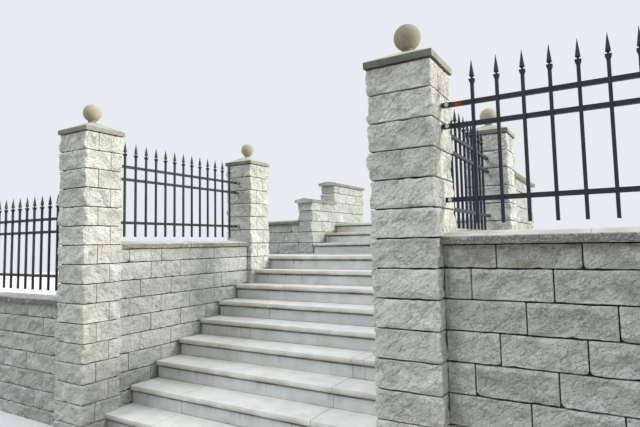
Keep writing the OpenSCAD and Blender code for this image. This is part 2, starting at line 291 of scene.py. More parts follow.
bench, given, made = open_group("split_stone_grain", GRAIN_INPUTS, FINISH_OUTPUTS)
tone = bench.attribute("tone")
apart = bench.add("ShaderNodeCombineXYZ", {
    axis: bench.times(tone, reach) for axis, reach in enumerate(OWN_PLACE)}).outputs[0]
own = bench.add("ShaderNodeVectorMath", {0: bench.place(), 1: apart}, operation="ADD").outputs[0]
big = bench.group("flaked_ledges", {"Place": own, "Scale": 13.0, "Levels": 9.0})
small = bench.group("flaked_ledges", {"Place": own, "Scale": 44.0, "Levels": 8.0})
lump = bench.noise(24, 5, rough=0.60, start=own)
coarse_part = bench.between(bench.noise(8, start=own), 0.44, 0.60, given["Smooth Part"], 1.0)
grain = bench.noise(given["Grain Scale"], rough=0.62)
grit = bench.noise(bench.times(given["Grain Scale"], GRIT_TO_GRAIN), 2, rough=0.5)
clouds = bench.noise(5, 4)
streaks = bench.noise(16, stretch=(1.0, 1.0, 0.10))
pits = bench.between(bench.noise(95, 2, rough=0.5), 0.36, 0.28)
height = bench.plus(bench.times(lump, LUMP_HIGH), bench.times(big["Height"], BIG_HIGH))
fine = bench.plus(bench.times(small["Height"], SMALL_HIGH), bench.times(grain, GRAIN_HIGH))
fine = bench.plus(fine, bench.times(grit, GRIT_HIGH))
height = bench.plus(height, bench.times(fine, coarse_part))
height = bench.minus(height, bench.times(pits, PIT_DEEP))

# %% [markdown]
# The colour of the same group follows the same noises. The pits and the hollows of the grain are
# darker: dirt and grain colour, and painted shade in the hollows. The ledges are darkened as dirt
# and as painted shadow of the flakes. Stain gathers in soft clouds, in streaks of rain and in the
# damp under a coping, and the margin of a block is paler: wear, and a painted highlight on its
# edges and corners.

# %% Colour of split stone
LEDGE_SHADE_AND_DIRT, SMALL_LEDGE_SHADE_AND_DIRT = 0.30, 0.14
# Where the grain sinks and in the pits the stone is darker: grain colour and dirt, and painted
# shade in the hollows.
mottle = bench.plus(bench.times(grain, 0.70), bench.times(grit, 0.30))
grain_and_hollow_shade = bench.times(
    bench.between(mottle, 0.58, 0.40), bench.between(coarse_part, 0.0, 1.0, 0.45, 1.0))
color = bench.mix(grain_and_hollow_shade, given["Light"], given["Dark"])
color = bench.mix(bench.times(pits, 0.65), color, given["Stain"])
# The ledges are darkened: dirt, and painted shadow of each flake.
dirt_and_shade = bench.plus(bench.times(big["Ledge"], LEDGE_SHADE_AND_DIRT),
                  bench.times(bench.times(small["Ledge"], SMALL_LEDGE_SHADE_AND_DIRT), coarse_part))
color = bench.mix(dirt_and_shade, color, given["Stain"])
speck = bench.between(grit, 0.58, 0.66)
color = bench.mix(bench.times(speck, 0.35), color, given["Light"])
stain = bench.times(bench.between(clouds, 0.48, 0.68), given["Stain Amount"])
color = bench.mix(stain, color, given["Stain"])
rain = bench.times(bench.between(streaks, 0.52, 0.70), given["Streak Amount"])
damp = bench.attribute("damp")
rain = bench.times(rain, bench.plus(bench.times(damp, 2.2), 0.6))
color = bench.mix(rain, color, given["Stain"])
damp = bench.times(damp, bench.between(bench.noise(7), 0.38, 0.62, 0.10, 0.62))
color = bench.mix(damp, color, bench.mix(0.45, given["Stain"], rgb(126, 120, 88)))
color = bench.toned(color, tone, 0.91, 1.06)
# The margin is paler: wear, and a painted highlight on the edges and corners of each block.
wear_and_highlight = bench.times(bench.attribute("margin"), 0.45)
color = bench.mix(wear_and_highlight, color, given["Light"])
bench.feed(made["Color"], color)
bench.feed(made["Height"], height)
bench.feed(made["Roughness"], bench.between(lump, 0.3, 0.7, 0.94, 0.82))

# %% [markdown]
# A material places a group with its own colours and amounts, and turns the height into bump. The
# blocks of the walls are a little darker and coarser than those of the pillars.

# %% Split stone of walls and pillars
STONE_SHEEN = 0.25


def new_material(name):
    """A material, the bench for its nodes and the inputs of its shader."""
    material = bpy.data.materials.new(name)
    material.use_nodes = True
    inputs = material.node_tree.nodes["Principled BSDF"].inputs
    return material, Bench(material.node_tree), inputs


def stone_material(name, group, values, strength, reach):
    """A material that places one of the groups with its own values."""
    material, desk, inputs = new_material(name)
    inputs["Specular IOR Level"].default_value = STONE_SHEEN
    grain = desk.group(group, values)
    relief = desk.bump(strength, reach, grain["Height"])
    desk.feed(inputs["Base Color"], grain["Color"])
    desk.feed(inputs["Roughness"], grain["Roughness"])
    desk.feed(inputs["Normal"], relief)
    return material


wall_stone = stone_material(
    "wall_stone", "split_stone_grain",
    {"Light": rgb(205, 208, 202), "Dark": rgb(173, 177, 171), "Stain": rgb(136, 136, 122),
     "Stain Amount": 0.16, "Streak Amount": 0.14, "Grain Scale": 125.0, "Smooth Part": 0.60},
    1.0, 0.030)
pillar_stone = stone_material(
    "pillar_stone", "split_stone_grain",
    {"Light": rgb(220, 221, 214), "Dark": rgb(188, 190, 183), "Stain": rgb(148, 147, 124),
     "Stain Amount": 0.18, "Streak Amount": 0.18, "Grain Scale": 135.0, "Smooth Part": 0.42},
    1.0, 0.028)


# %% [markdown]
# ### Smooth slabs
# Treads, copings and caps are cast smooth and then worn. They are paler and finer than the split
# blocks, with soft clouds, thin streaks and a few pits. Where a slab was split instead of cast,
# as on the long edges of a coping, the margin number brings in dark, ledged rock.

# %% Group for smooth slabs
SLAB_INPUTS = [
    ("Light", "Color", rgb(216, 216, 210)),
    ("Dark", "Color", rgb(176, 176, 168)),
    ("Stain", "Color", rgb(128, 120, 96)),
    ("Stain Amount", "Float", 0.25),
    ("Rough Edge And Neck Shade", "Color", rgb(140, 138, 128)),
]
FINE_DEEP, PIT_SUNK, ROCK_HIGH = 0.25, 0.4, 2.4

bench, given, made = open_group("smooth_slab_grain", SLAB_INPUTS, FINISH_OUTPUTS)
clouds = bench.noise(6, 5, rough=0.5)
sweep = bench.noise(5, stretch=(0.5, 1.6, 1.0))
fine = bench.noise(230)
coarse = bench.noise(120, 4, rough=0.65)
pits = bench.between(bench.noise(60, 2, rough=0.4), 0.30, 0.25)
edge = bench.attribute("margin")
share = bench.between(bench.plus(clouds, bench.times(fine, 0.45)), 0.50, 0.92)
color = bench.mix(share, given["Light"], given["Dark"])
stain = bench.times(bench.between(sweep, 0.50, 0.72), given["Stain Amount"])
color = bench.mix(stain, color, given["Stain"])
color = bench.mix(bench.times(pits, 0.5), color, given["Stain"])
rock = bench.group("flaked_ledges", {"Place": bench.place(), "Scale": 30.0, "Levels": 8.0})
split = bench.mix(bench.between(coarse, 0.50, 0.66, 0.0, 0.60), given["Rough Edge And Neck Shade"], given["Light"])
split = bench.mix(bench.between(coarse, 0.48, 0.34, 0.0, 0.65), split, rgb(80, 81, 74))
split = bench.mix(bench.between(bench.noise(34), 0.46, 0.66, 0.0, 0.30), split, rgb(94, 95, 86))
color = bench.mix(edge, color, split)
color = bench.toned(color, bench.attribute("tone"), 0.80, 1.03)
depth = bench.plus(bench.times(fine, FINE_DEEP), bench.times(coarse, bench.plus(edge, 0.08)))
depth = bench.minus(depth, bench.times(pits, PIT_SUNK))
depth = bench.plus(depth, bench.times(bench.times(rock["Height"], edge), ROCK_HIGH))
bench.feed(made["Color"], color)
bench.feed(made["Height"], depth)
bench.feed(made["Roughness"], bench.between(clouds, 0.3, 0.7, 0.62, 0.82))

# %% [markdown]
# ### Treads
# A tread is the palest slab of the stair. Under its nose it is always damp, so the lower part of
# the nose has grown a green-brown film. Its underside and the gap where its ends meet the walls
# are painted dark, as dirt and painted shade. How far up a step a point lies is the remainder of
# its level divided by the rise.

# %% Finish of the treads
RISE = 0.163
TREAD = 0.045
GAP_FROM, GAP_TO = 1.372, 1.388


def reopen(material):
    """The bench of a material, the inputs of its shader and its colour so far."""
    inputs = material.node_tree.nodes["Principled BSDF"].inputs
    return Bench(material.node_tree), inputs, inputs["Base Color"].links[0].from_socket


def flight_ends(desk, across, level):
    """1 in the gap where the slabs of the lower flight meet its walls, painted dark as shade and
    dirt.
    """
    at_wall = desk.between(desk.math("ABSOLUTE", across), GAP_FROM, GAP_TO)
    return desk.times(at_wall, desk.math("LESS_THAN", level, LANDING + 0.001))


tread_stone = stone_material(
    "tread_stone", "smooth_slab_grain",
    {"Light": rgb(231, 231, 226), "Dark": rgb(216, 216, 210), "Stain": rgb(188, 186, 172),
     "Stain Amount": 0.16}, 0.5, 0.002)
desk, inputs, base = reopen(tread_stone)
facing = desk.facing()
across, _, level = desk.parts(desk.place())
inside = desk.math("FLOORED_MODULO", desk.minus(level, RISE - TREAD), RISE)
low_part = desk.between(inside, TREAD * 0.75, 0.0, 0.30, 1.0)
front = desk.between(desk.times(facing[1], -1.0), 0.35, 0.90)
patchy = desk.times(front, low_part)
algae = desk.times(patchy, desk.between(desk.noise(3, 4), 0.34, 0.62, 0.35, 0.80))
# The underside of the nose and the ends at the walls are darkened: painted shade, and dirt.
shade_and_dirt_below = desk.between(desk.times(facing[2], -1.0), 0.20, 0.60, 0.0, 0.85)
shade_and_dirt_below = desk.most(shade_and_dirt_below, desk.times(flight_ends(desk, across, level), 0.75))
color = desk.mix(algae, base, rgb(146, 141, 116))
desk.feed(inputs["Base Color"], desk.mix(shade_and_dirt_below, color, rgb(70, 67, 55)))

# %% [markdown]
# ### Landing, copings, caps and balls
# The landing is washed gravel concrete, so it takes the grain of split stone with little bump.
# Copings, caps and balls take the slab grain. On the caps the side away from the sun has grown a
# dark skin. That skin depends on which way the face looks, not on where anybody stands, so the
# normal of the surface can drive it. The undersides of the caps get the same dark colour, as
# painted shade. The neck of a ball is darkened through its margin, as painted shade where it
# sits on the cap and as damp.

# %% Finish of the landing, the copings, the caps and the balls
landing_gravel = stone_material(
    "landing_gravel", "split_stone_grain",
    {"Light": rgb(200, 202, 201), "Dark": rgb(138, 141, 141), "Stain": rgb(118, 119, 108),
     "Stain Amount": 0.25, "Streak Amount": 0.0, "Grain Scale": 85.0}, 0.8, 0.006)
coping_stone = stone_material(
    "coping_stone", "smooth_slab_grain",
    {"Light": rgb(210, 210, 206), "Dark": rgb(184, 184, 180), "Stain": rgb(142, 138, 124),
     "Stain Amount": 0.40, "Rough Edge And Neck Shade": rgb(128, 128, 118)}, 0.8, 0.008)
cap_cast = stone_material(
    "cap_cast", "smooth_slab_grain",
    {"Light": rgb(188, 187, 175), "Dark": rgb(166, 166, 153), "Stain": rgb(126, 126, 110),
     "Stain Amount": 0.3}, 0.6, 0.003)
desk, inputs, base = reopen(cap_cast)
facing = desk.facing()
edge = desk.between(desk.math("ABSOLUTE", facing[2]), 0.75, 0.30)
# The underside of the cap gets the same dark colour, as painted shade.
under = desk.between(desk.times(facing[2], -1.0), 0.25, 0.85)
front = desk.between(desk.times(facing[1], -1.0), 0.25, 0.85, 0.45, 0.95)
skin_and_underside_shade = desk.most(desk.times(edge, front), under)
skin_and_underside_shade = desk.times(skin_and_underside_shade, desk.between(desk.noise(14), 0.30, 0.70, 0.78, 1.0))
skin_and_underside_shade = desk.times(skin_and_underside_shade, desk.between(desk.attribute("tone"), 0.0, 1.0, 0.55, 1.0))
desk.feed(inputs["Base Color"], desk.mix(skin_and_underside_shade, base, rgb(80, 81, 72)))
# On the ball the rough edge colour darkens the neck and the foot of the ball: painted shade where
# it sits on the cap, and damp.
ball_cast = stone_material(
    "ball_cast", "smooth_slab_grain",
    {"Light": rgb(176, 170, 149), "Dark": rgb(158, 152, 131), "Stain": rgb(118, 112, 92),
     "Stain Amount": 0.30, "Rough Edge And Neck Shade": rgb(96, 93, 78)}, 0.6, 0.002)
print("stone finishes", len(bpy.data.materials))

# %% [markdown]
# ### Mortar and the rough core
# The joints are raked back and lie in shadow, so a dark mortar closes them. Under the slabs the
# core of the stair is plain cast concrete, which shows only from the open ends.

# %% Mortar and core
joint_mortar = stone_material(
    "joint_mortar", "smooth_slab_grain",
    {"Light": rgb(84, 83, 76), "Dark": rgb(58, 57, 52), "Stain": rgb(40, 38, 32)}, 0.6, 0.003)
slab_mortar = stone_material(
    "slab_mortar", "smooth_slab_grain",
    {"Light": rgb(206, 205, 198), "Dark": rgb(170, 168, 160), "Stain": rgb(96, 90, 76)}, 0.6, 0.002)
core_concrete = stone_material(
    "core_concrete", "split_stone_grain",
    {"Light": rgb(184, 182, 174), "Dark": rgb(140, 138, 130), "Stain": rgb(104, 98, 82),
     "Stain Amount": 0.5, "Streak Amount": 0.5, "Grain Scale": 80.0}, 0.5, 0.012)
print("with mortar and core", len(bpy.data.materials))

# %% [markdown]
# ## Hands on the mesh
# An operator works on all that is selected, so each step first lets go of everything. Then a cube
# is added at its size and place, and in edit mode its edges or faces are picked by where they lie
# or by the way they face. Rows are cut by subdividing all edges that run one way, which gives the
# same result as loop cuts but needs no window.

# %% Helpers for adding, picking and cutting
def let_go():
    """Leaves edit mode and deselects everything."""
    if bpy.context.object and bpy.context.object.mode != "OBJECT":
        bpy.ops.object.mode_set(mode="OBJECT")
    bpy.ops.object.select_all(action="DESELECT")


def add_cube(name, low, high):
    """A box from one corner to the other, left in edit mode."""
    let_go()
    middle = [(a + b) / 2 for a, b in zip(low, high)]
    size = [b - a for a, b in zip(low, high)]
    bpy.ops.mesh.primitive_cube_add(size=1, location=middle, scale=size)
    piece = bpy.context.object
    piece.name = piece.data.name = name
    bpy.ops.object.transform_apply(location=True, rotation=True, scale=True)
    bpy.ops.object.mode_set(mode="EDIT")
    return piece


def pick(piece, kind, test):
    """In edit mode, selects the vertices, edges or faces that pass the test."""
    mesh = bmesh.from_edit_mesh(piece.data)
    bpy.ops.mesh.select_mode(type=kind)
    bpy.ops.mesh.select_all(action="DESELECT")
    for part in {"VERT": mesh.verts, "EDGE": mesh.edges, "FACE": mesh.faces}[kind]:
        if test(part):
            part.select_set(True)
    mesh.select_flush_mode()
    bmesh.update_edit_mesh(piece.data)


def span(edge):
    return edge.verts[1].co - edge.verts[0].co


def runs_along(edge, axis, least=0.01):
    """True for an edge of at least that length along one axis."""
    way = span(edge)
    return abs(way[axis]) > max(least, 0.999 * way.length)


def cut_rows(piece, axis, length, step, least=None):
    """Cuts the piece across one axis into rows of about one step."""
    rows = max(1, round(length / step))
    if rows > 1:
        least = 0.6 * length if least is None else least
        pick(piece, "EDGE", lambda edge: runs_along(edge, axis, least))
        bpy.ops.mesh.subdivide(number_cuts=rows - 1)


def faces_toward(piece, way, least=0.9):
    way = Vector(way)
    pick(piece, "FACE", lambda face: face.normal.dot(way) > least)


def bevel_all(offset, segments=1):
    bpy.ops.mesh.select_all(action="SELECT")
    bpy.ops.mesh.bevel(offset=offset, segments=segments, affect="EDGES")


# %% [markdown]
# ## Patterns
# Each size of a stone is modelled once and kept as a pattern, because it is laid many times. A
# vertex group called relief says how far each point may move later, and the attribute margin
# marks an edge zone that the finishes colour: paler on blocks, as wear and painted highlight,
# split rock on copings, and painted shade at the neck of a ball. Both change softly from point to
# point, along a ramp.

# %% Weigh and keep a pattern
patterns = {}


def ramp(distance, width):
    share = min(1.0, max(0.0, distance / width))
    return share * share * (3 - 2 * share)


def weigh(piece, relief, margin):
    """Gives each point its share of the relief, and its number for the margin."""
    places = [point.co.copy() for point in piece.data.vertices]
    group = piece.vertex_groups.new(name="relief")
    for number, place in enumerate(places):
        group.add([number], relief(place), "REPLACE")
    numbers = piece.data.attributes.new("margin", "FLOAT", "POINT")
    numbers.data.foreach_set("value", [margin(place) for place in places])


def nothing(place):
    return 0.0


def keep_pattern(key, piece, material, crease):
    """Smooths and paints a pattern, hides it and keeps it for laying."""
    bpy.ops.object.shade_smooth_by_angle(angle=math.radians(crease))
    piece.data.materials.append(material)
    piece.hide_render = True
    patterns[key] = piece
    return piece


# %% [markdown]
# ## One split block
# A split block is cast as a twin and then broken apart, so its open faces are rough rock while
# its beds and ends are flat. A cube gets a broken bevel on its open corners and a small worn one
# on its other edges, is cut into rows, and its hidden faces are dissolved back to single ones.
# Its relief is full in the middle of a rock face and hardly anything at the beds, where the joint
# has to stay straight.

# %% Model a split block
WAYS = {"-x": (-1, 0, 0), "+x": (1, 0, 0), "-y": (0, -1, 0), "+y": (0, 1, 0)}
WALL_ROW = 0.018
WORN_EDGE = 0.0028
ARRIS = 0.004
MARGIN = 0.010
CORNER_MARGIN = 0.014
RELIEF_RIM = 0.026
BED_RELIEF = 0.06
HAIR = 1e-4


def split_block(length, depth, height, open_faces, material, row):
    """A block with its foot at level 0, centred on its own middle, rough on its open faces."""
    key = (round(length, 3), round(depth, 3), round(height, 3), tuple(sorted(open_faces)), row)
    if key in patterns:
        return patterns[key]
    half = (length / 2, depth / 2)
    piece = add_cube("split_block", (-half[0], -half[1], 0), (half[0], half[1], height))
    corners = [c for c in ((-1, -1), (-1, 1), (1, -1), (1, 1))
               if ("-x", "+x")[c[0] > 0] in open_faces and ("-y", "+y")[c[1] > 0] in open_faces]

    def on_corner(edge):
        x, y, _ = (edge.verts[0].co + edge.verts[1].co) / 2
        return any(x * c[0] > half[0] - HAIR and y * c[1] > half[1] - HAIR for c in corners)

    def unbroken(edge):
        x, y, _ = edge.verts[0].co
        return abs(span(edge).z) < 1e-6 or abs(abs(x) - half[0]) + abs(abs(y) - half[1]) < 1e-5

    if corners:
        pick(piece, "EDGE", lambda edge: runs_along(edge, 2) and on_corner(edge))
        bpy.ops.mesh.bevel(offset=ARRIS, segments=1, affect="EDGES")
    pick(piece, "EDGE", unbroken)
    bpy.ops.mesh.bevel(offset=WORN_EDGE, segments=1, affect="EDGES")
    cut_rows(piece, 0, length, row)
    cut_rows(piece, 2, height, row)
    if "-x" in open_faces or "+x" in open_faces:
        cut_rows(piece, 1, depth, row)
    hidden = [WAYS[side] for side in WAYS if side not in open_faces]
    for way in hidden + [(0, 0, 1), (0, 0, -1)]:
        faces_toward(piece, way, 0.98)
        bpy.ops.mesh.dissolve_faces()
    bpy.ops.object.mode_set(mode="OBJECT")

    def near(place):
        """How far it is to the next joint."""
        gaps = {"-x": place.x + half[0], "+x": half[0] - place.x,
                "-y": place.y + half[1], "+y": half[1] - place.y}
        return min([place.z, height - place.z] + [gaps[s] for s in gaps if s not in open_faces])

    # The margin is painted paler later: wear, and a painted highlight on the edges and broken
    # corners.
    def wear_and_highlight(place):
        across = min([1] + [math.hypot(place.x - c[0] * half[0], place.y - c[1] * half[1])
                            for c in corners])
        return max(1 - ramp(near(place) - 0.001, MARGIN), 1 - ramp(across - ARRIS, CORNER_MARGIN))

    def relief(place):
        return BED_RELIEF + (1 - BED_RELIEF) * ramp(near(place) - 0.002, RELIEF_RIM)

    weigh(piece, relief, wear_and_highlight)
    piece["size"] = (length, depth, height)
    piece["open"] = " ".join(open_faces)
    return keep_pattern(key, piece, material, 42)


sample = split_block(BLOCK - JOINT, 0.180, COURSE - JOINT, ("-y", "+y"), wall_stone, WALL_ROW)
print("faces in a whole block", len(sample.data.polygons))

# %% [markdown]
# ## The break
# Every block broke by itself, so its hollows and ridges must not run on into its neighbour, and a
# single noise for the whole wall would do just that. The break is therefore given block by block:
# each open face gets a handful of shallow bowls of its own, and the lowest bowl wins at every
# point, which leaves smooth hollows with sharp ridges between them. The open faces belly out a
# little toward the middle and stay near the joint at their rim. One lower corner is often knocked
# off, which shows as a dark hole at the foot of the upright joint.

# %% Break the open faces of one block
MOST_OUT = 0.012
BELLY = 0.0030
BOWL_EVERY, BOWL_OUT, BOWL_DEEP = 0.055, 0.008, (1.5, 6.0)
LEAN_ALONG, LEAN_UP = 0.22, 0.38


def hollows(across, up, length, height, vigour):
    """How far a rock face stands out at each point, in metres."""
    level = None
    for _ in range(4 + int(length / BOWL_EVERY)):
        u, v = sway(0.5) * length, sway(0.45) * height
        lean_u, lean_v = sway(LEAN_ALONG), sway(LEAN_UP)
        bowl = chance.uniform(*BOWL_DEEP)
        start = sway(BOWL_OUT)
        du, dv = across - u, up - v
        this = start + lean_u * du + lean_v * dv + bowl * (du * du + dv * dv)
        level = this if level is None else np.minimum(level, this)
    level = (level - level.mean()) * vigour + BELLY
    return MOST_OUT * np.tanh(level / MOST_OUT)


NICK_EVERY, NICK = 0.030, (-0.0008, 0.0020)
DEEP_NICK, DEEP_SHARE = 0.0035, 0.12


def nicks(across, width):
    """How much is chipped off an edge along its run, in metres."""
    depths = [chance.uniform(*NICK) for _ in range(2 + int(width / NICK_EVERY))]
    depths = [depth + (DEEP_NICK if chance.random() < DEEP_SHARE else 0) for depth in depths]
    return np.interp(across, np.linspace(-width / 2, width / 2, len(depths)), depths)


# %% [markdown]
# The bowls and nicks move the points of a copy straight out of or into its open faces. Points on
# a bed edge move up or down by the same nicks. Where two open faces meet, the upright corner
# breaks off in a few uneven chips.

# %% Break one copy
STILL_RIM, LEAST_SHARE = 0.003, 0.10
EDGE_RUN, EDGE_FADE = 0.0045, 0.0017
FACE_RUN, FACE_FADE = ARRIS + 0.004, 0.003
CORNER, CORNER_FULL = 0.0085, 1.3
CORNER_IN, CORNER_ALONG, CORNER_UP = 1.2, 0.42, 0.38
CHIPS, CHIP_END, CHIP = 5, 0.002, (-0.001, 0.007)


def read_points(piece):
    flat = np.empty(len(piece.data.vertices) * 3, np.float32)
    piece.data.vertices.foreach_get("co", flat)
    return flat.reshape(-1, 3)


def chip_corners(points, still, gaps, sides, height):
    for side in ("-y", "+y"):
        for end in ("-x", "+x"):
            if side in sides and end in sides:
                at_corner = (gaps[side] < ARRIS * 1.5) & (gaps[end] < ARRIS * 1.5)
                depths = [CHIP_END] + [chance.uniform(*CHIP) for _ in range(CHIPS)] + [CHIP_END]
                heights = np.linspace(0, height, len(depths))
                chip = at_corner * np.interp(still[:, 2], heights, depths)
                points[:, 0] -= np.sign(still[:, 0]) * chip
                points[:, 1] -= np.sign(still[:, 1]) * chip


def fracture(piece, vigour):
    length, depth, height = piece["size"]
    sides = piece["open"].split()
    still = read_points(piece)
    points = still.copy()
    up = still[:, 2]
    gaps = {side: (depth if way[1] else length) / 2 - still @ np.array(way, np.float32)
            for side, way in WAYS.items()}
    rim = np.minimum(up, height - up)
    for side in WAYS:
        if side not in sides:
            rim = np.minimum(rim, gaps[side])
    share = np.clip((rim - STILL_RIM) / RELIEF_RIM, 0, 1)
    share = LEAST_SHARE + (1 - LEAST_SHARE) * share * share * (3 - 2 * share)
    at_foot, at_head = (np.clip((EDGE_RUN - away) / EDGE_FADE, 0, 1) for away in (up, height - up))
    knocked = chance.choice(("-x", "+x", "none"))
    for side in sides:
        axis = 0 if "x" in side else 1
        width = depth if axis == 0 else length
        across = still[:, 1 - axis]
        on_face = np.clip((FACE_RUN - gaps[side]) / FACE_FADE, 0, 1)
        move = hollows(across, up - height / 2, width, height, vigour) * share
        foot_nick = on_face * at_foot * nicks(across, width)
        head_nick = on_face * at_head * nicks(across, width)
        points[:, 2] += foot_nick - head_nick
        move -= np.abs(foot_nick + head_nick)
        if knocked != "none" and knocked not in sides:
            corner = on_face * np.clip(CORNER_FULL - np.hypot(gaps[knocked], up) / CORNER, 0, 1)
            move -= CORNER_IN * CORNER * corner
            points[:, 1 - axis] -= WAYS[knocked][0] * CORNER_ALONG * CORNER * corner
            points[:, 2] += CORNER_UP * CORNER * corner
        points[:, axis] += (-1 if side[0] == "-" else 1) * on_face * move
    chip_corners(points, still, gaps, sides, height)
    piece.data.vertices.foreach_set("co", points.ravel())


# %% [markdown]
# ## Laying copies
# Every laid block is a copy with its own mesh, broken in its own way, turned and moved to its
# place. A number called tone later makes it a little lighter or darker than its neighbours, and
# another called damp marks the courses that a coping drips on. A millimetre forward or back and a
# slight lean keep the wall from looking printed. When a wall is complete its blocks are joined
# into one piece, and displace modifiers raise the small rock on all of them at once.

# %% Lay, join and roughen
def lay(pattern, place, turn=0.0, proud=0.0, lean=0.0025, tone=None, damp=0.0, vigour=1.0):
    copy = pattern.copy()
    copy.data = pattern.data.copy()
    bpy.context.scene.collection.objects.link(copy)
    copy.hide_render = False
    if "open" in pattern:
        fracture(copy, vigour * chance.uniform(0.75, 1.25))
    tilt = Matrix.Rotation(sway(lean), 4, "X")
    spin = Matrix.Rotation(turn, 4, "Z")
    shift = Matrix.Translation(Vector(place) + spin @ Vector((0, proud, 0)))
    copy.data.transform(shift @ spin @ tilt)
    tone = chance.random() if tone is None else tone
    for name, value in (("tone", tone), ("damp", damp)):
        numbers = copy.data.attributes.new(name, "FLOAT", "POINT")
        numbers.data.foreach_set("value", [value] * len(copy.data.vertices))
    return copy


def join_all(parts, name):
    let_go()
    for part in parts:
        part.select_set(True)
    bpy.context.view_layer.objects.active = parts[0]
    if len(parts) > 1:
        bpy.ops.object.join()
    piece = bpy.context.object
    piece.name = piece.data.name = name
    return piece


def rock_texture(name, basis, scale, depth):
    texture = bpy.data.textures.get(name)
    if texture is None:
        texture = bpy.data.textures.new(name, "CLOUDS")
        texture.noise_basis = basis
        texture.noise_scale = scale
        texture.noise_depth = depth
    return texture


def roughen(piece, layers):
    """Pushes the points of the relief group in and out by several noises, one after the other."""
    let_go()
    piece.select_set(True)
    bpy.context.view_layer.objects.active = piece
    for name, basis, scale, depth, strength, middle in layers:
        push = piece.modifiers.new(name, "DISPLACE")
        push.texture = rock_texture(name, basis, scale, depth)
        push.texture_coords = "LOCAL"
        push.strength = strength
        push.mid_level = middle
        push.vertex_group = "relief"
        bpy.ops.object.modifier_apply(modifier=push.name)


# %% [markdown]
# A finished piece takes the place of its solid, under the same body. It must not reach outside
# the box of the solids, so its few outermost points are pressed back to it first.

# %% Hand over a finished piece
EDGE_OF_BOX = 0.0003
tally = []


def trim(piece):
    """No point may leave the box of the solids."""
    points = read_points(piece)
    low, high = (np.array(corner, np.float32) for corner in cad_box)
    inside = np.clip(points, low + EDGE_OF_BOX, high - EDGE_OF_BOX)
    piece.data.vertices.foreach_set("co", inside.ravel())
    return int((np.abs(inside - points).max(axis=1) > 1e-5).sum())


def stand_for(piece, node):
    """The piece takes the place of its solid in the frame."""
    trimmed = trim(piece)
    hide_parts(node)
    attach(piece, "root")
    tally.append(sum(len(face.vertices) - 2 for face in piece.data.polygons))
    print(piece.name, tally[-1], "triangles,", trimmed, "points trimmed")


def finish_piece(parts, name, node, wear, cores=()):
    """Joins the parts, wears them, adds what lies behind them and hands the piece over."""
    piece = join_all(parts, name)
    roughen(piece, wear)
    stand_for(join_all([piece] + list(cores), name), node)


# %% [markdown]
# ## Walls in courses
# A wall is set out course by course. The joint places repeat every block length and shift by a
# third from course to course. A dark core of mortar, set a little back from the faces, closes
# the joints, so that they read as thin dark lines. The same words serve a wall along x and one
# along y.

# %% Set out a wall
SLIVER = 0.014
LAST_BLOCK = 0.030
CORE_INSET = 0.026
CORE_FOOT = 0.001
CORE_UNDER = 0.0002


def stone_runs(start, end, first, course):
    """The ends of the blocks in one course, from start to end."""
    cuts = [start]
    place = start + (first - BOND_SHIFT * (course % 3)) % BLOCK
    while place < end - LAST_BLOCK:
        if place > start + SLIVER:
            cuts.append(place)
        place += BLOCK
    return list(zip(cuts, cuts[1:] + [end]))


def spot_on(along, run, across, level):
    """A place given along and across a wall that runs along x or along y."""
    return (run, across, level) if along == "x" else (across, run, level)


def turn_of(along):
    return 0 if along == "x" else math.radians(90)


def mortar_core(low, high):
    core = add_cube("mortar", low, high)
    bevel_all(0.002)
    bpy.ops.object.mode_set(mode="OBJECT")
    core.data.materials.append(joint_mortar)
    return core


def wall_cores(along, middle, thick, lengths, open_ends):
    cores, foremost = [], lengths[0][0]
    for start, end, top in lengths:
        a = start + (CORE_INSET if "low" in open_ends or start > foremost else 0.001)
        b = end - (CORE_INSET if "high" in open_ends else 0.001)
        side = thick / 2 - CORE_INSET
        cores.append(mortar_core(spot_on(along, a, middle - side, CORE_FOOT),
                                 spot_on(along, b, middle + side, top - CORE_UNDER)))
    return cores


# %% [markdown]
# The blocks of a course lie between its joints. Where a wall ends in the open, or steps up, its
# last blocks are split on that end too. The top course is damp from the coping over it, and the
# one below it a little. A finished wall is its blocks, roughened together, and the cores behind.

# %% Lay the blocks of a wall
NEXT_COURSE_DAMP, DAMP_REACH = 0.35, 0.200
TOP_JOINT = JOINT * 0.8
PROUD = 0.0015
TOP_VIGOUR = 0.7
CREASE = 21
WALL_ROCK = (
    ("scallop_rock", "VORONOI_F1", 0.050, 1, 0.018, 0.42),
    ("small_rock", "IMPROVED_PERLIN", 0.028, 2, 0.013, 0.50),
)


def wall_blocks(along, middle, thick, lengths, first, open_ends=(), row=WALL_ROW, wet=0.3,
                sides=("-y", "+y"), tooth=None, vigour=1.1):
    """Blocks of a wall. Each length is (start, end, top). With a tooth of 0 or 1 every other
    course starts later, to let the courses of the next wall through."""
    blocks = []
    levels = course_levels(max(length[2] for length in lengths))
    for low, high in zip(levels[:-1], levels[1:]):
        course = -math.floor((low + 0.001 - LANDING) / COURSE)
        here = [length for length in lengths if length[2] > low + THINNEST_COURSE]
        start, end, wall_top = here[0][0], here[-1][1], max(length[2] for length in here)
        top, foot = min(high, wall_top), low + (JOINT if low > 0 else 0)
        last = top > wall_top - 0.001
        top -= TOP_JOINT if last else 0
        damp = wet if last else (NEXT_COURSE_DAMP * wet if top > wall_top - DAMP_REACH else 0.0)
        start += thick + JOINT if tooth is not None and course % 2 == tooth else 0
        stepped = start > lengths[0][0] + 0.01
        for a, b in stone_runs(start, end, first, course):
            faces = list(sides)
            if a == start and ("low" in open_ends or stepped):
                faces.append("-x")
            if b == end and "high" in open_ends:
                faces.append("+x")
            left = a if "-x" in faces else a + JOINT / 2
            right = b if "+x" in faces else b - JOINT / 2
            block = split_block(right - left, thick, top - foot, faces, wall_stone, row)
            spot = spot_on(along, (left + right) / 2, middle, foot)
            blocks.append(lay(block, spot, turn_of(along), sway(PROUD), damp=damp,
                              vigour=TOP_VIGOUR if last else vigour))
    return blocks


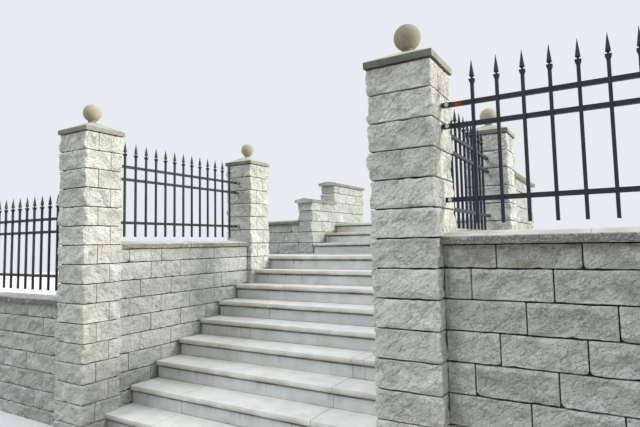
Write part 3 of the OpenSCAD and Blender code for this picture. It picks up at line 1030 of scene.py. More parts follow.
def finish_wall(name, node, blocks, cores, rock=WALL_ROCK):
    wall = join_all(blocks, name)
    roughen(wall, rock)
    bpy.ops.object.shade_smooth_by_angle(angle=math.radians(CREASE))
    stand_for(join_all([wall] + cores, name), node)


def build_wall(name, node, along, middle, thick, lengths, first, open_ends=(), **settings):
    blocks = wall_blocks(along, middle, thick, lengths, first, open_ends, **settings)
    finish_wall(name, node, blocks, wall_cores(along, middle, thick, lengths, open_ends))


# %% [markdown]
# Four walls join the pillars: the garden walls, which run on from the front pillars, and the
# walls beside the lower flight. The left garden wall is three courses lower than the others.

# %% Lay the walls between the pillars
ROW = -2.8475
STAIR_LINE = 1.530
GARDEN_THICK, STAIR_THICK = 0.180, 0.260
GARDEN_FROM, GARDEN_TO = 1.725, 4.075
STAIR_FROM, STAIR_TO = -2.6525, -0.6925
STAIR_TOP, LOW_TOP = 1.602, 1.095

build_wall("garden_blocks_right", "garden_wall_right", "x", ROW, GARDEN_THICK,
           [(GARDEN_FROM, GARDEN_TO, STAIR_TOP)], 0.280, wet=1.0, vigour=1.6)
build_wall("garden_blocks_left", "garden_wall_left", "x", ROW, GARDEN_THICK,
           [(-GARDEN_TO, -GARDEN_FROM, LOW_TOP)], 0.120, vigour=1.4)
for side, line in (("left", -STAIR_LINE), ("right", STAIR_LINE)):
    build_wall("stair_blocks_" + side, "stair_wall_" + side, "y", line, STAIR_THICK,
               [(STAIR_FROM, STAIR_TO, STAIR_TOP)], 0.142, wet=0.1)


# %% [markdown]
# Behind the back pillars the walls go on round the landing and step up beside the upper flight.
# They are the same masonry, so the same words lay them, with wider rows because nobody comes near
# them. The step in height is given as a second length with its own top.

# %% Lay the walls of the landing and the upper flight
FAR_ROW = 0.028
LANDING_FRONT, LANDING_LEFT = -0.3025, -2.800
CROSS_LINE, CROSS_END, CROSS_TOP = 1.2375, -1.760, 1.940
LEG_LINE, LEG_END = 1.560, 1.1425
TURN_LINE, TURN_FROM, TURN_TO = 1.0125, 1.000, 1.430
PARAPET_TOP, RAISED_TOP, PARAPET_STEP = 2.278, 2.616, 1.8875
PARAPET_LEFT, PARAPET_RIGHT = -1.630, 1.130
UPPER_NOSE, BACK = 1.1075, 3.045
PARAPETS = {
    "left": (PARAPET_LEFT, UPPER_NOSE, 0.142, ("low", "high")),
    "right": (PARAPET_RIGHT, LEG_END, 0.242, ("high",)),
}

build_wall("landing_blocks_left", "landing_wall_left", "x", CROSS_LINE, STAIR_THICK,
           [(LANDING_LEFT, CROSS_END, CROSS_TOP)], 0.240, ("low",), row=FAR_ROW, wet=1.0)
leg = ("y", LEG_LINE, STAIR_THICK, [(LANDING_FRONT, LEG_END, PARAPET_TOP)])
back_turn = ("x", TURN_LINE, STAIR_THICK, [(TURN_FROM, TURN_TO, PARAPET_TOP)])
blocks = wall_blocks(*leg, 0.142, ("high",), FAR_ROW)
blocks += wall_blocks(*back_turn, 0.240, ("low",), FAR_ROW)
cores = wall_cores(*leg, ("high",)) + wall_cores(*back_turn, ("low",))
finish_wall("landing_blocks_right", "landing_wall_right", blocks, cores)
for side, (line, start, first, open_ends) in PARAPETS.items():
    build_wall("parapet_blocks_" + side, "parapet_" + side, "y", line, STAIR_THICK,
               [(start, PARAPET_STEP, PARAPET_TOP), (PARAPET_STEP, BACK, RAISED_TOP)],
               first, open_ends, row=FAR_ROW)


# %% [markdown]
# The landing and the upper flight stand on cores of their own. Where no wall covers them they
# are faced with the same blocks, one thin skin deep, and the two skins that meet at the open
# corner of the landing are toothed into each other course by course. Behind the skins the cores
# rise to just under the slabs. The core of the landing is two boxes, because it reaches less far
# back where the right landing wall turns.

# %% Face the open sides of the cores
SKIN = 0.120
LANDING_BED, UPPER_BED = 1.422, 1.911
UPPER_GOING = 0.390
NOSING = 0.025
RISER = 0.030
UPPER_STEPS = 3

front_skin = wall_blocks(
    "x", LANDING_FRONT + SKIN / 2, SKIN, [(LANDING_LEFT, -GARDEN_FROM, LANDING_BED)], 0.240,
    ("low",), FAR_ROW, sides=("-y",), tooth=0)
side_skin = wall_blocks(
    "y", LANDING_LEFT + SKIN / 2, SKIN, [(LANDING_FRONT, UPPER_NOSE, LANDING_BED)], 0.142,
    ("low",), FAR_ROW, sides=("+y",), tooth=1)
left, front = LANDING_LEFT + CORE_INSET, LANDING_FRONT + CORE_INSET
cores = [mortar_core((left, front, CORE_FOOT), (1.250, 1.161, LANDING_BED - CORE_UNDER)),
         mortar_core((1.200, front, CORE_FOOT), (1.429, 1.100, LANDING_BED - CORE_UNDER))]
finish_wall("landing_blocks_base", "landing_core", front_skin + side_skin, cores)

rear_skin = wall_blocks(
    "x", BACK - SKIN / 2, SKIN, [(-1.498, 0.998, UPPER_BED)], 0.240, (), FAR_ROW, sides=("+y",))
cores = []
for step in range(UPPER_STEPS):
    front = UPPER_NOSE + step * UPPER_GOING + NOSING + RISER
    top = LANDING + (step + 1) * RISE - TREAD - CORE_UNDER
    cores.append(mortar_core((-1.499, front, CORE_FOOT), (0.999, BACK - CORE_INSET, top)))
finish_wall("upper_blocks_base", "upper_core", rear_skin, cores)

# %% [markdown]
# ## Pillars
# Each pillar course is two blocks deep: a thin one and a thick one, changed about in every
# course, so that the upright joint on the pillar's side steps to and fro. The two faces that meet
# inside a course stay flat, because nobody sees them. The upright corners break more roughly than
# the beds, which is why they have the wide bevel.

# %% Lay the pillars
PILLAR = 0.390
THIN = 0.130
BAY = 2.350
END_LINE = 4.270
PILLAR_ROW = 0.0155
PILLAR_ROCK = (
    ("pillar_scallop", "VORONOI_F1", 0.045, 1, 0.015, 0.42),
    ("pillar_small", "IMPROVED_PERLIN", 0.026, 2, 0.014, 0.50),
)
PILLARS = {
    "front_left": (-STAIR_LINE, ROW), "front_right": (STAIR_LINE, ROW),
    "back_left": (-STAIR_LINE, ROW + BAY), "back_right": (STAIR_LINE, ROW + BAY),
    "end_left": (-END_LINE, ROW), "end_right": (END_LINE, ROW),
}


def lay_pillar(place, x, y):
    blocks = []
    levels = course_levels(SHAFT_TOP)
    halves = ((THIN, "-y", -(PILLAR / 2 - THIN / 2 + JOINT / 4)),
              (PILLAR - THIN, "+y", THIN / 2 + JOINT / 4))
    for number, (low, high) in enumerate(zip(levels[:-1], levels[1:])):
        foot = low + (JOINT if low > 0 else 0)
        high -= TOP_JOINT if high == SHAFT_TOP else 0
        way, turn = (-1, math.pi) if (len(levels) - number) % 2 == 1 else (1, 0.0)
        for depth, side, shift in halves:
            block = split_block(PILLAR, depth - JOINT / 2, high - foot, ("-x", "+x", side),
                                pillar_stone, PILLAR_ROW)
            blocks.append(lay(block, (x, y + way * shift, foot), turn, sway(0.001), 0.001))
    side = PILLAR / 2 - CORE_INSET
    core = mortar_core((x - side, y - side, CORE_FOOT), (x + side, y + side, SHAFT_TOP - 0.002))
    finish_wall("pillar_blocks_" + place, "pillar_" + place, blocks, [core], PILLAR_ROCK)


for place, (x, y) in PILLARS.items():
    lay_pillar(place, x, y)


# %% [markdown]
# ## Caps
# A cap is a cast slab with a low pyramid on it. The cube is added as the slab, its top face is
# extruded upwards and drawn in to the seat of the ball, and all edges get a small worn bevel.
# The big faces are then subdivided so that a faint waviness can be pushed into them.

# %% Model the cap once and copy it
CAP = 0.418
CAP_EDGE = 0.042
CAP_RISE = 0.080
SEAT = 0.076
CAP_WEAR = (
    ("cap_wave", "IMPROVED_PERLIN", 0.11, 1, 0.0022, 0.55),
    ("cap_chip", "VORONOI_F2_F1", 0.03, 1, 0.0016, 0.60),
)
CAP_TONES = {"front_right": 0.95, "front_left": 0.25, "back_left": 0.75, "back_right": 0.55}
END_CAP_TONE = 0.6

cap = add_cube("cap", (-CAP / 2, -CAP / 2, 0), (CAP / 2, CAP / 2, CAP_EDGE))
faces_toward(cap, (0, 0, 1))
bpy.ops.mesh.extrude_region_move(TRANSFORM_OT_translate={"value": (0, 0, CAP_RISE)})
bpy.ops.transform.resize(
    value=(SEAT / CAP, SEAT / CAP, 1), center_override=(0, 0, CAP_EDGE + CAP_RISE))
bevel_all(0.003, 2)
pick(cap, "FACE", lambda face: face.calc_area() > 0.004 and face.normal.z > -0.5)
bpy.ops.mesh.subdivide(number_cuts=11)
bpy.ops.object.mode_set(mode="OBJECT")
weigh(cap, lambda place: 1.0, nothing)
keep_pattern("cap", cap, cap_cast, 30)
for place, (x, y) in PILLARS.items():
    laid = lay(cap, (x, y, SHAFT_TOP), 0, 0, 0, CAP_TONES.get(place, END_CAP_TONE))
    finish_piece([laid], "cast_cap_" + place, "cap_" + place, CAP_WEAR)


# %% [markdown]
# ## Balls
# The ball sits on a short neck. A sphere is added at its size, the faces round its lowest point
# are extruded down and drawn together into the neck, and the foot of the neck is flattened onto
# the cap. Hand-rubbed stone is never quite round, so a very slight swell finishes it.

# %% Model the ball once and copy it
BALL = 0.0822
NECK = 0.032
NECK_RISE = 0.0135
BALL_WEAR = (
    ("ball_swell", "IMPROVED_PERLIN", 0.09, 1, 0.0020, 0.50),
    ("ball_pit", "VORONOI_F1", 0.012, 0, 0.0008, 0.50),
)

let_go()
bpy.ops.mesh.primitive_uv_sphere_add(
    segments=56, ring_count=36, radius=BALL, location=(0, 0, NECK_RISE + BALL))
ball = bpy.context.object
ball.name = ball.data.name = "ball"
bpy.ops.object.transform_apply(location=True, rotation=True, scale=True)
bpy.ops.object.mode_set(mode="EDIT")
neck_top = NECK_RISE + BALL - math.sqrt(BALL ** 2 - NECK ** 2)
pick(ball, "FACE", lambda face: all(point.co.z < neck_top + 0.002 for point in face.verts))
bpy.ops.mesh.extrude_region_move(TRANSFORM_OT_translate={"value": (0, 0, 0)})
bpy.ops.transform.resize(value=(0.96, 0.96, 0), center_override=(0, 0, 0))
bpy.ops.object.mode_set(mode="OBJECT")
# The margin of the ball darkens its neck and foot: painted shade where it sits on the cap, and
# damp.
weigh(ball, lambda place: ramp(place.z, 0.010),
      lambda place: 0.85 * (1 - ramp(place.z - 0.008, 0.026)))
keep_pattern("ball", ball, ball_cast, 50)
for place, (x, y) in PILLARS.items():
    laid = lay(ball, (x, y, SHAFT_TOP + CAP_EDGE + CAP_RISE), chance.uniform(0, 6), 0, 0)
    finish_piece([laid], "stone_ball_" + place, "ball_" + place, BALL_WEAR)


# %% [markdown]
# ## Copings
# The wall tops are closed with saddle slabs, 485 mm long, that shed rain to both sides and drip
# clear of the wall. A slab starts as a cube, is cut once along its middle, and the middle line of
# its top is lifted into the ridge. Bisecting twice under each side gives the strip that is pushed
# up as the drip groove. The two long edges are split rough, so only they are cut into small rows
# and given full relief.

# %% Model a coping slab
COPING_OVER = 0.038
COPING_EDGE = 0.042
COPING_RISE = 0.030
SLAB = 0.485
DRIP = 0.008
GROOVE = 0.006
COPING_ROCK = (
    ("coping_broad", "IMPROVED_PERLIN", 0.05, 2, 0.013, 0.52),
    ("coping_small", "VORONOI_F2_F1", 0.022, 1, 0.010, 0.50),
)


def cut_across(at):
    """Cuts the whole piece at one distance along y."""
    bpy.ops.mesh.select_all(action="SELECT")
    bpy.ops.mesh.bisect(plane_co=(0, at, 0), plane_no=(0, 1, 0))


def lift_ridge(piece, half, rise):
    """Cuts the piece along its middle and lifts the middle line of its top."""
    cut_rows(piece, 1, 2 * half, half)
    pick(piece, "EDGE", lambda e: runs_along(e, 0) and abs(e.verts[0].co.y) < HAIR
         and e.verts[0].co.z > COPING_EDGE / 2)
    bpy.ops.transform.translate(value=(0, 0, rise))


def coping_slab(length, thick):
    key = ("coping", round(length, 3), thick)
    if key in patterns:
        return patterns[key]
    half = thick / 2 + COPING_OVER
    groove = thick / 2 + COPING_OVER / 2
    piece = add_cube("coping_slab", (-length / 2, -half, 0), (length / 2, half, COPING_EDGE))
    lift_ridge(piece, half, COPING_RISE)
    for side in (-1, 1):
        for shift in (-DRIP / 2, DRIP / 2):
            cut_across(side * groove + shift)
    pick(piece, "FACE", lambda f: f.normal.z < -0.9
         and abs(abs(f.calc_center_median().y) - groove) < DRIP / 2)
    bpy.ops.mesh.extrude_region_move(TRANSFORM_OT_translate={"value": (0, 0, GROOVE)})
    pick(piece, "EDGE", lambda e: runs_along(e, 0) and all(
        abs(abs(v.co.y) - half) < HAIR for v in e.verts))
    bpy.ops.mesh.bevel(offset=0.004, segments=1, affect="EDGES")
    cut_rows(piece, 0, length, 0.014)
    cut_rows(piece, 2, COPING_EDGE, 0.009, 0.02)
    bpy.ops.object.mode_set(mode="OBJECT")

    def edge(place):
        return 1 - ramp(half - abs(place.y) - 0.003, 0.012)

    def relief(place):
        return edge(place) * (0.35 + 0.65 * ramp(length / 2 - abs(place.x), 0.012))

    weigh(piece, relief, edge)
    return keep_pattern(key, piece, coping_stone, 35)


# %% [markdown]
# A row of slabs starts with a cut slab at the pillar. The joints are filled flush with pale
# mortar, which a slightly smaller saddle of the same section stands for.

# %% Lay a row of copings
SLAB_GAP = 0.004
LAST_SLAB = 0.05
COPING_LEAN = 0.0015
JOINT_INSIDE = 0.006


def coping_slabs(along, middle, thick, start, end, level, first, tones):
    slabs, cuts = [], [start]
    place = start + first
    while place < end - LAST_SLAB:
        cuts.append(place)
        place += SLAB
    for a, b in zip(cuts, cuts[1:] + [end]):
        spot = spot_on(along, (a + b) / 2, middle, level)
        slab, tone = coping_slab(b - a - SLAB_GAP, thick), chance.uniform(*tones)
        slabs.append(lay(slab, spot, turn_of(along), sway(PROUD), COPING_LEAN, tone))
    return slabs


def coping_joint(along, middle, thick, start, end, level):
    """The mortar in the joints: one saddle as long as the whole row, a hair smaller."""
    run, half = (end - start) * 0.499, thick / 2 + COPING_OVER - JOINT_INSIDE
    core = add_cube("joint", (-run, -half, 0), (run, half, COPING_EDGE - 0.002))
    lift_ridge(core, half, COPING_RISE - 0.001)
    bpy.ops.object.mode_set(mode="OBJECT")
    core.data.materials.append(slab_mortar)
    spot = Matrix.Translation(spot_on(along, (start + end) / 2, middle, level + 0.001))
    core.data.transform(spot @ Matrix.Rotation(turn_of(along), 4, "Z"))
    return core


# %% [markdown]
# Every coping is one or two rows, each given by its line, its ends, the top of its wall, the
# length of its first slab and the tones of its slabs. The low tones of the left garden coping and
# the left landing coping paint shade onto them. Where two rows meet at a step or a turn, one of
# them runs on over the other wall.

# %% Lay the copings
# The two low tone ranges are painted shade on the left garden coping and the left landing coping.
DRY, PAINTED_SHADE_TONES, DEEP_PAINTED_SHADE_TONES = (0.65, 1.0), (0, 0.25), (0, 0.15)
COPING_END = 3.0550
RAISED_FROM = PARAPET_STEP - COPING_OVER
COPINGS = (
    ("saddle_garden_right", "garden_coping_right", [
        ("x", ROW, GARDEN_THICK, GARDEN_FROM, GARDEN_TO, STAIR_TOP, 0.238, DRY)]),
    ("saddle_garden_left", "garden_coping_left", [
        ("x", ROW, GARDEN_THICK, -GARDEN_TO, -GARDEN_FROM, LOW_TOP, 0.410, DEEP_PAINTED_SHADE_TONES)]),
    ("saddle_stair_left", "stair_coping_left", [
        ("y", -STAIR_LINE, STAIR_THICK, STAIR_FROM, STAIR_TO, STAIR_TOP, 0.300, DRY)]),
    ("saddle_stair_right", "stair_coping_right", [
        ("y", STAIR_LINE, STAIR_THICK, STAIR_FROM, STAIR_TO, STAIR_TOP, 0.300, DRY)]),
    ("saddle_landing_left", "landing_coping_left", [
        ("x", CROSS_LINE, STAIR_THICK, LANDING_LEFT - COPING_OVER, CROSS_END, CROSS_TOP,
         0.410, PAINTED_SHADE_TONES)]),
    ("saddle_landing_right", "landing_coping_right", [
        ("y", LEG_LINE, STAIR_THICK, LANDING_FRONT, LEG_END + COPING_OVER, PARAPET_TOP,
         0.380, DRY),
        ("x", TURN_LINE, STAIR_THICK, TURN_FROM - COPING_OVER, LEG_LINE, PARAPET_TOP,
         0.300, DRY)]),
    ("saddle_parapet_left", "parapet_coping_left", [
        ("y", PARAPET_LEFT, STAIR_THICK, UPPER_NOSE - COPING_OVER, PARAPET_STEP, PARAPET_TOP,
         0.400, DRY),
        ("y", PARAPET_LEFT, STAIR_THICK, RAISED_FROM, COPING_END, RAISED_TOP, 0.440, DRY)]),
    ("saddle_parapet_right", "parapet_coping_right", [
        ("y", PARAPET_RIGHT, STAIR_THICK, LEG_END + COPING_OVER, PARAPET_STEP, PARAPET_TOP,
         0.380, DRY),
        ("y", PARAPET_RIGHT, STAIR_THICK, RAISED_FROM, COPING_END, RAISED_TOP, 0.440, DRY)]),
)

for name, node, runs in COPINGS:
    slabs = [slab for run in runs for slab in coping_slabs(*run)]
    joints = [coping_joint(*run[:6]) for run in runs]
    finish_piece(slabs, name, node, COPING_ROCK, joints)


# %% [markdown]
# ## Treads and risers
# Every step is a row of cast slabs: a tread 45 mm thick that runs out over the riser in a nosing,
# and an upright riser slab set back under it. The nosing has a worn bevel and a drip groove. The
# joints of treads and risers stand above each other, about 0.7 m either side of the middle.

# %% Model a tread slab
TREAD_WEAR = (
    ("tread_wave", "IMPROVED_PERLIN", 0.16, 1, 0.0022, 0.50),
    ("tread_chip", "VORONOI_F2_F1", 0.04, 1, 0.0014, 0.60),
)
DRIP_FROM, DRIP_TO = 0.0105, 0.0185
TREAD_GAP, SHORTEST_SLAB = 0.005, 0.04
TREAD_LEAN = 0.0008


def tread_slab(width, depth, nosed, finish):
    """A slab with its nose toward -y at y = 0 and its underside at level 0."""
    key = ("tread", round(width, 3), round(depth, 3), nosed, finish.name)
    if key in patterns:
        return patterns[key]
    piece = add_cube("tread_slab", (-width / 2, 0, 0), (width / 2, depth, TREAD))
    if nosed:
        cut_across(DRIP_FROM)
        cut_across(DRIP_TO)
        pick(piece, "FACE", lambda f: f.normal.z < -0.9
             and DRIP_FROM < f.calc_center_median().y < DRIP_TO)
        bpy.ops.mesh.extrude_region_move(TRANSFORM_OT_translate={"value": (0, 0, GROOVE)})
        pick(piece, "EDGE", lambda e: runs_along(e, 0) and e.verts[0].co.y < HAIR)
        bpy.ops.mesh.bevel(offset=0.004, segments=3, affect="EDGES")

    def around_top(e):
        a, b = (vert.co for vert in e.verts)
        return (abs(a.z - TREAD) < HAIR and abs(b.z - TREAD) < HAIR and a.y + b.y > 0.03
                and abs(span(e).x) * abs(span(e).y) < 1e-9)

    pick(piece, "EDGE", around_top)
    bpy.ops.mesh.bevel(offset=0.0015, segments=1, affect="EDGES")
    cut_rows(piece, 0, width, 0.035)
    bpy.ops.object.mode_set(mode="OBJECT")
    weigh(piece, lambda place: 0.3 + 0.7 * ramp(width / 2 - abs(place.x), 0.02), nothing)
    return keep_pattern(key, piece, finish, 40)


def slabs_between(x0, x1, joints):
    """Both ends of every slab in a row, from its joints."""
    cuts = [x0] + [x for x in joints if x0 + SHORTEST_SLAB < x < x1 - SHORTEST_SLAB] + [x1]
    return zip(cuts[:-1], cuts[1:])


def tread_row(x0, x1, y0, y1, top, joints, nosed=True, finish=tread_stone):
    slabs = []
    for a, b in slabs_between(x0, x1, joints):
        slab = tread_slab(b - a - TREAD_GAP, y1 - y0, nosed, finish)
        spot, tone = ((a + b) / 2, y0, top - TREAD), chance.uniform(*DRY)
        slabs.append(lay(slab, spot, 0, sway(PROUD), TREAD_LEAN, tone))
    return slabs


# %% [markdown]
# The risers are plain slabs, but their dirt is what makes the stair read: rain carries rust and
# soot over each nosing and down the riser. Their finish therefore darkens in streaks below each
# nosing. The strip at the top of every riser, under the nosing, and the ends at the walls are
# painted darker still, as dirt and painted shade. The height inside one step comes from the
# remainder of the level divided by the rise.

# %% Finish and model the risers
RISER_GAP = 0.002
RISER_ROW = 0.04
RISER_TONES = (0.7, 1.0)

riser_stone = stone_material(
    "riser_stone", "smooth_slab_grain",
    {"Light": rgb(206, 209, 206), "Dark": rgb(192, 195, 191), "Stain": rgb(150, 149, 134),
     "Stain Amount": 0.20}, 0.5, 0.002)
desk, inputs, base = reopen(riser_stone)
across, _, level = desk.parts(desk.place())
inside = desk.math("DIVIDE", desk.math("FLOORED_MODULO", level, RISE), RISE - TREAD)
# The top of the riser under the nosing is darkened: painted shade, and dirt.
lip_shade_and_dirt = desk.between(inside, 0.80, 0.90, 0.0, 1.5)
drip = desk.between(desk.noise(26, stretch=(1, 1, 0.06)), 0.50, 0.72)
reach = desk.times(drip, desk.between(inside, 0.05, 1.0))
patches = desk.between(desk.noise(3.2, 2), 0.45, 0.62)
dirt_and_shade = desk.times(desk.times(reach, 0.7), desk.plus(patches, 0.15))
dirt_and_shade = desk.plus(dirt_and_shade, desk.times(lip_shade_and_dirt, desk.plus(desk.times(patches, 0.3), 0.7)))
# The ends at the walls are darkened: painted shade in the gap, and dirt.
dirt_and_shade = desk.plus(dirt_and_shade, desk.times(flight_ends(desk, across, level), 1.5))
share = desk.math("MINIMUM", desk.times(dirt_and_shade, 0.62), 0.88)
desk.feed(inputs["Base Color"], desk.mix(share, base, rgb(78, 74, 60)))


def riser_row(x0, x1, y0, foot, head, joints):
    slabs = []
    for a, b in slabs_between(x0, x1, joints):
        low, high = a + RISER_GAP / 2, b - RISER_GAP / 2
        slab = add_cube("riser_slab", (low, y0, foot), (high, y0 + RISER, head))
        bevel_all(0.001)
        cut_rows(slab, 0, b - a, RISER_ROW)
        cut_rows(slab, 2, head - foot, RISER_ROW)
        bpy.ops.object.mode_set(mode="OBJECT")
        weigh(slab, lambda place: 1.0, nothing)
        slab.data.materials.append(riser_stone)
        slabs.append(lay(slab, (0, 0, 0), 0, sway(PROUD), 0, chance.uniform(*RISER_TONES)))
        bpy.data.objects.remove(slab)
    return slabs


# %% [markdown]
# The lower flight has nine risers and eight treads, because the landing is the ninth. The places
# of the joints differ a little from step to step, as slabs of uneven length were laid.

# %% Lay the lower flight
GOING = 0.312
LOWER_STEPS = 9
LOWER_END = 1.391
FIRST_NOSE = -2.8115
BEHIND = 0.001
JOINTS = {
    1: (-0.76, 0.60), 2: (-0.747, 0.575), 3: (-0.723, 0.589), 4: (-0.699, 0.610, 0.724),
    5: (-0.700, 0.79), 6: (-0.687, 0.70), 7: (-0.676, 0.69), 8: (-0.658, 0.72), 9: (-0.641, 0.70),
}
treads, risers = [], []
for step, joints in JOINTS.items():
    nose = FIRST_NOSE + (step - 1) * GOING
    foot, head = (step - 1) * RISE, step * RISE - TREAD
    risers += riser_row(-LOWER_END, LOWER_END, nose + NOSING, foot, head, joints)
    if step < LOWER_STEPS:
        back = nose + GOING + NOSING - BEHIND
        treads += tread_row(-LOWER_END, LOWER_END, nose, back, step * RISE, joints)
finish_piece(treads, "tread_slabs_lower", "lower_treads", TREAD_WEAR)
finish_piece(risers, "riser_slabs_lower", "lower_risers", TREAD_WEAR)

# %% [markdown]
# ## Landing and upper flight
# The landing starts with one nosed row over the last riser. Behind it lie slabs of washed gravel
# concrete, a little darker and coarse to the foot, with their joints shifted by half a slab. The
# upper flight repeats the lower one with deeper treads, and ends in two rows of the same gravel.

# %% Lay the landing and the upper flight
PAVING, PAVING_SHIFT = 0.70, 0.35
LANDING_ROWS = (0.052, 0.420, 0.790, 1.160)
UPPER_FROM, UPPER_TO = -1.493, 0.993
UPPER_JOINTS = (-0.652, 0.30)
UPPER_PAVING = ((2.402, 2.720, (-1.1, -0.4, 0.3)), (2.722, 3.055, (-0.75, -0.05, 0.65)))
ROW_GAP = 0.002

last_nose = FIRST_NOSE + (LOWER_STEPS - 1) * GOING
paving = tread_row(-LOWER_END, LOWER_END, last_nose, 0.050, LANDING, JOINTS[LOWER_STEPS])
paving += tread_row(
    LANDING_LEFT, -1.402, LANDING_FRONT, 0.050, LANDING, (-2.10,), False, landing_gravel)
for number, (y0, y1) in enumerate(zip(LANDING_ROWS[:-1], LANDING_ROWS[1:])):
    shift = PAVING_SHIFT * (number % 2)
    joints = [LANDING_LEFT + PAVING * k + shift for k in range(1, 7)]
    paving += tread_row(
        LANDING_LEFT, 1.43, y0, y1 - ROW_GAP, LANDING, joints, False, landing_gravel)
finish_piece(paving, "landing_paving", "landing_slab", TREAD_WEAR)

treads, risers = [], []
for step in range(UPPER_STEPS):
    nose, foot = UPPER_NOSE + step * UPPER_GOING, LANDING + step * RISE
    head = foot + RISE
    back = nose + UPPER_GOING + NOSING - BEHIND if step < UPPER_STEPS - 1 else 2.400
    risers += riser_row(UPPER_FROM, UPPER_TO, nose + NOSING, foot, head - TREAD, UPPER_JOINTS)
    treads += tread_row(UPPER_FROM, UPPER_TO, nose, back, head, UPPER_JOINTS)
for y0, y1, joints in UPPER_PAVING:
    treads += tread_row(-1.50, 1.00, y0, y1, head, joints, False, landing_gravel)
finish_piece(treads, "tread_slabs_upper", "upper_treads", TREAD_WEAR)
finish_piece(risers, "riser_slabs_upper", "upper_risers", TREAD_WEAR)

# %% [markdown]
# ## Painted ironwork
# The railings come ready from the frame: square bars, cups, necks and forged points. What is left
# is their paint. It is a blue-black with a slight sheen, a little chalky where the weather has
# reached it, and it has begun to rust at one tab. Rust is grown by noise and by nearness to that
# tab, and the bolts that hold the tabs are bare zinc, found by their nearness too. The railings
# of the stair mirror each other, so the absolute value of the place serves both.

# %% Finish of the iron
BOLT_OUT, BOLT_IN = 0.0134, 0.0128
IRON_SHEEN = 0.35


def iron_finish(name, bolts, rust_spots=(), mirrored=False):
    material, desk, inputs = new_material(name)
    wear = desk.noise(30, 4)
    runs = desk.noise(60, stretch=(1, 1, 0.15))
    paint = desk.mix(desk.between(wear, 0.45, 0.75), rgb(19, 25, 33), rgb(40, 48, 57))
    inputs["Specular IOR Level"].default_value = IRON_SHEEN
    spots = desk.times(desk.between(desk.noise(75), 0.66, 0.74), 0.5)
    here = desk.place()
    if mirrored:
        here = desk.add("ShaderNodeVectorMath", {0: here}, operation="ABSOLUTE").outputs[0]

    def away(spot):
        made = desk.add("ShaderNodeVectorMath", {0: here, 1: spot}, operation="DISTANCE")
        return made.outputs["Value"]

    for spot, reach in rust_spots:
        near = desk.between(away(spot), reach, reach * 0.45)
        spots = desk.most(spots, desk.times(near, desk.between(wear, 0.30, 0.48)))
    nearest = away(bolts[0])
    for spot in bolts[1:]:
        nearest = desk.math("MINIMUM", nearest, away(spot))
    zinc = desk.between(nearest, BOLT_OUT, BOLT_IN)
    rust = desk.mix(desk.between(runs, 0.35, 0.70), rgb(104, 52, 24), rgb(176, 92, 42))
    color = desk.mix(spots, paint, rust)
    dull = desk.mix(desk.between(runs, 0.40, 0.65), rgb(212, 213, 211), rgb(176, 176, 170))
    desk.feed(inputs["Base Color"], desk.mix(zinc, color, dull))
    desk.feed(inputs["Metallic"], desk.times(zinc, 0.5))
    matt = desk.plus(desk.between(wear, 0.3, 0.7, 0.42, 0.58), desk.times(spots, 0.4))
    desk.feed(inputs["Roughness"], matt)
    height = desk.plus(desk.times(runs, 0.5), spots)
    desk.feed(inputs["Normal"], desk.bump(0.35, 0.001, height))
    return material


# %% [markdown]
# Each end of a rail has a tab with one bolt, so the places of the bolts follow from the ends of
# the panels and the levels of the rails above the wall. The core under the lower flight keeps its
# own mesh too, and gets its concrete here.

# %% Paint the railings
RAILS = (0.808, 0.682, 0.253)
TAB = 0.030
BOLT_PROUD = 0.0155
RUSTY_TAB = ((1.812, ROW, 2.410), 0.042)


def bolt_places(a, b, across, level):
    """The heads of the bolts at both ends of every rail, with the run of the rail first."""
    return [(end, across, level + rail) for end in (a + TAB, b - TAB) for rail in RAILS]


right_bolts = bolt_places(GARDEN_FROM, GARDEN_TO, ROW - BOLT_PROUD, STAIR_TOP)
left_bolts = bolt_places(-GARDEN_TO, -GARDEN_FROM, ROW - BOLT_PROUD, LOW_TOP)
stair_bolts = [(STAIR_LINE - BOLT_PROUD, run, level)
               for run, _, level in bolt_places(-STAIR_TO, -STAIR_FROM, 0, STAIR_TOP)]
finishes = {
    "garden_railing_right": iron_finish("iron_garden_right", right_bolts, [RUSTY_TAB]),
    "garden_railing_left": iron_finish("iron_garden_left", left_bolts),
    "stair_railing_left": iron_finish("iron_stair", stair_bolts, mirrored=True),
    "lower_core": core_concrete,
}
finishes["stair_railing_right"] = finishes["stair_railing_left"]
for node, material in finishes.items():
    painted = frame["nodes"][node]
    painted.data.materials.clear()
    painted.data.materials.append(material)
print("painted nodes that keep their mesh", len(finishes))

# %% [markdown]
# The patterns have been copied as often as needed. They were hidden from the render, but a
# finished file holds only what belongs to it, so they go.

# %% Sweep away the patterns
print("patterns used", len(patterns))
for piece in patterns.values():
    bpy.data.objects.remove(piece)
let_go()

# %% [markdown]
# ## Floor, light and camera
# The stair stands on a plain pale floor under an open, even sky. The sky is brighter overhead
# than at its rim, which is what brings out the rock in the shade. The pale background is seen
# only by the camera and by reflections, so it adds no light of its own, and the floor under the
# stair is a little darker for the light than it is for the eye.

# %% Floor and sky
FLOOR_SIZE = 60
SKY_LOW, SKY_HIGH = 0.26, 1.18


def seen_directly(desk):
    """1 for what the camera, a mirror or a glass pane shows, 0 for what lights the stone."""
    path = desk.add("ShaderNodeLightPath").outputs
    seen = desk.most(path["Is Camera Ray"], path["Is Glossy Ray"])
    return desk.most(seen, path["Is Transmission Ray"])


bpy.ops.mesh.primitive_plane_add(size=FLOOR_SIZE, location=(0, 0, 0))
floor = bpy.context.object
floor.name = "floor"
paper, desk, inputs = new_material("floor_paper")
shade = desk.mix(seen_directly(desk), rgb(158, 157, 153), rgb(226, 226, 224))
desk.feed(inputs["Base Color"], shade)
inputs["Roughness"].default_value = 0.9
floor.data.materials.append(paper)

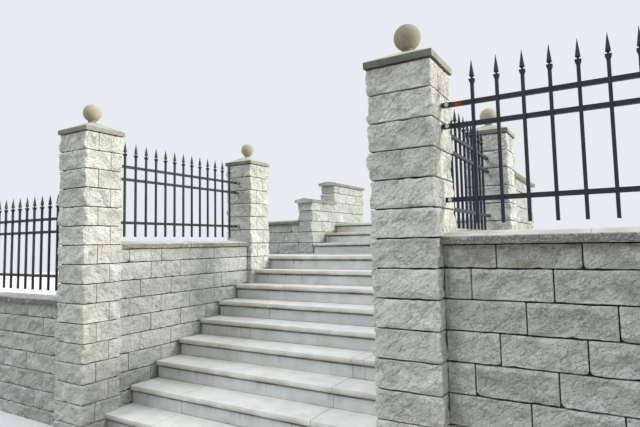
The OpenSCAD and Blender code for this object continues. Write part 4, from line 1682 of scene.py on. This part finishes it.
sky = bpy.data.worlds.new("open_sky")
bpy.context.scene.world = sky
sky.use_nodes = True
sky.node_tree.nodes.clear()
desk = Bench(sky.node_tree)
view = desk.add("ShaderNodeTexCoord").outputs["Generated"]
rise = desk.most(desk.parts(view)[2], 0.0)
strength = desk.plus(desk.times(rise, SKY_HIGH - SKY_LOW), SKY_LOW)
light = desk.add("ShaderNodeBackground", {"Color": rgb(243, 248, 255), "Strength": strength})
backdrop = desk.add("ShaderNodeBackground", {"Color": rgb(232, 236, 240), "Strength": 1.0})
blend = desk.add("ShaderNodeMixShader", {
    0: seen_directly(desk), 1: light.outputs[0], 2: backdrop.outputs[0]})
desk.add("ShaderNodeOutputWorld", {0: blend.outputs[0]})
print("floor", FLOOR_SIZE, "m wide")

# %% [markdown]
# Three suns light the stair, each given by the place it shines from. A soft warm one on the right
# draws the edges of the blocks. A very broad one beside it lifts the whole sunny side, so that
# the right-hand faces and the tops are bright. A cool, broad one from the front left fills the
# fronts, which lie in soft shade as in the photograph.

# %% Suns
SUNS = (
    ("soft_sun", (1.0, 0.34, 0.40), 2.3, 6, (1.0, 0.95, 0.84)),
    ("open_front", (-0.50, -0.72, 0.90), 1.30, 30, (0.95, 0.98, 1.0)),
    ("bright_side", (1.0, 0.40, 0.50), 1.90, 60, (1.0, 0.99, 0.95)),
)
for name, source, energy, angle, color in SUNS:
    data = bpy.data.lights.new(name, "SUN")
    data.energy = energy
    data.angle = math.radians(angle)
    data.color = color
    lamp = bpy.data.objects.new(name, data)
    lamp.rotation_euler = Vector(source).to_track_quat("Z", "Y").to_euler()
    bpy.context.scene.collection.objects.link(lamp)
print("suns", len(SUNS))

# %% [markdown]
# The camera stands where the photographer stood. Its place, turn and lens were found by matching
# points of the masonry with the photograph, so the render lies over it.

# %% Camera
EYE = (2.541, -5.758, 1.617)
YAW, PITCH, ROLL = (math.radians(angle) for angle in (31.822, 4.616, -0.980))
FILM, FOCAL = 36, 28.344
SHIFT_RIGHT, SHIFT_UP = 0.03125, -0.0159

ahead = Vector((-math.sin(YAW) * math.cos(PITCH), math.cos(YAW) * math.cos(PITCH), math.sin(PITCH)))
level_right = Vector((math.cos(YAW), math.sin(YAW), 0))
level_up = level_right.cross(ahead)
right = level_right * math.cos(ROLL) + level_up * math.sin(ROLL)
up = level_up * math.cos(ROLL) - level_right * math.sin(ROLL)
turned = Matrix((right, up, -ahead)).transposed().to_4x4()
lens = bpy.data.cameras.new("camera")
lens.sensor_width = FILM
lens.lens = FOCAL
lens.shift_x = SHIFT_RIGHT
lens.shift_y = SHIFT_UP
lens.clip_end = 200
camera = bpy.data.objects.new("camera", lens)
camera.matrix_world = Matrix.Translation(EYE) @ turned
bpy.context.scene.collection.objects.link(camera)
bpy.context.scene.camera = camera
bpy.context.scene.view_settings.view_transform = "Standard"

# %% [markdown]
# ## Triangles added
# The masonry took the place of exact solids, so its outer box has to match theirs. Each piece
# was pressed into their box when it was handed over, and here the triangles it added are counted.

# %% Count the triangles
print("triangles added", sum(tally))
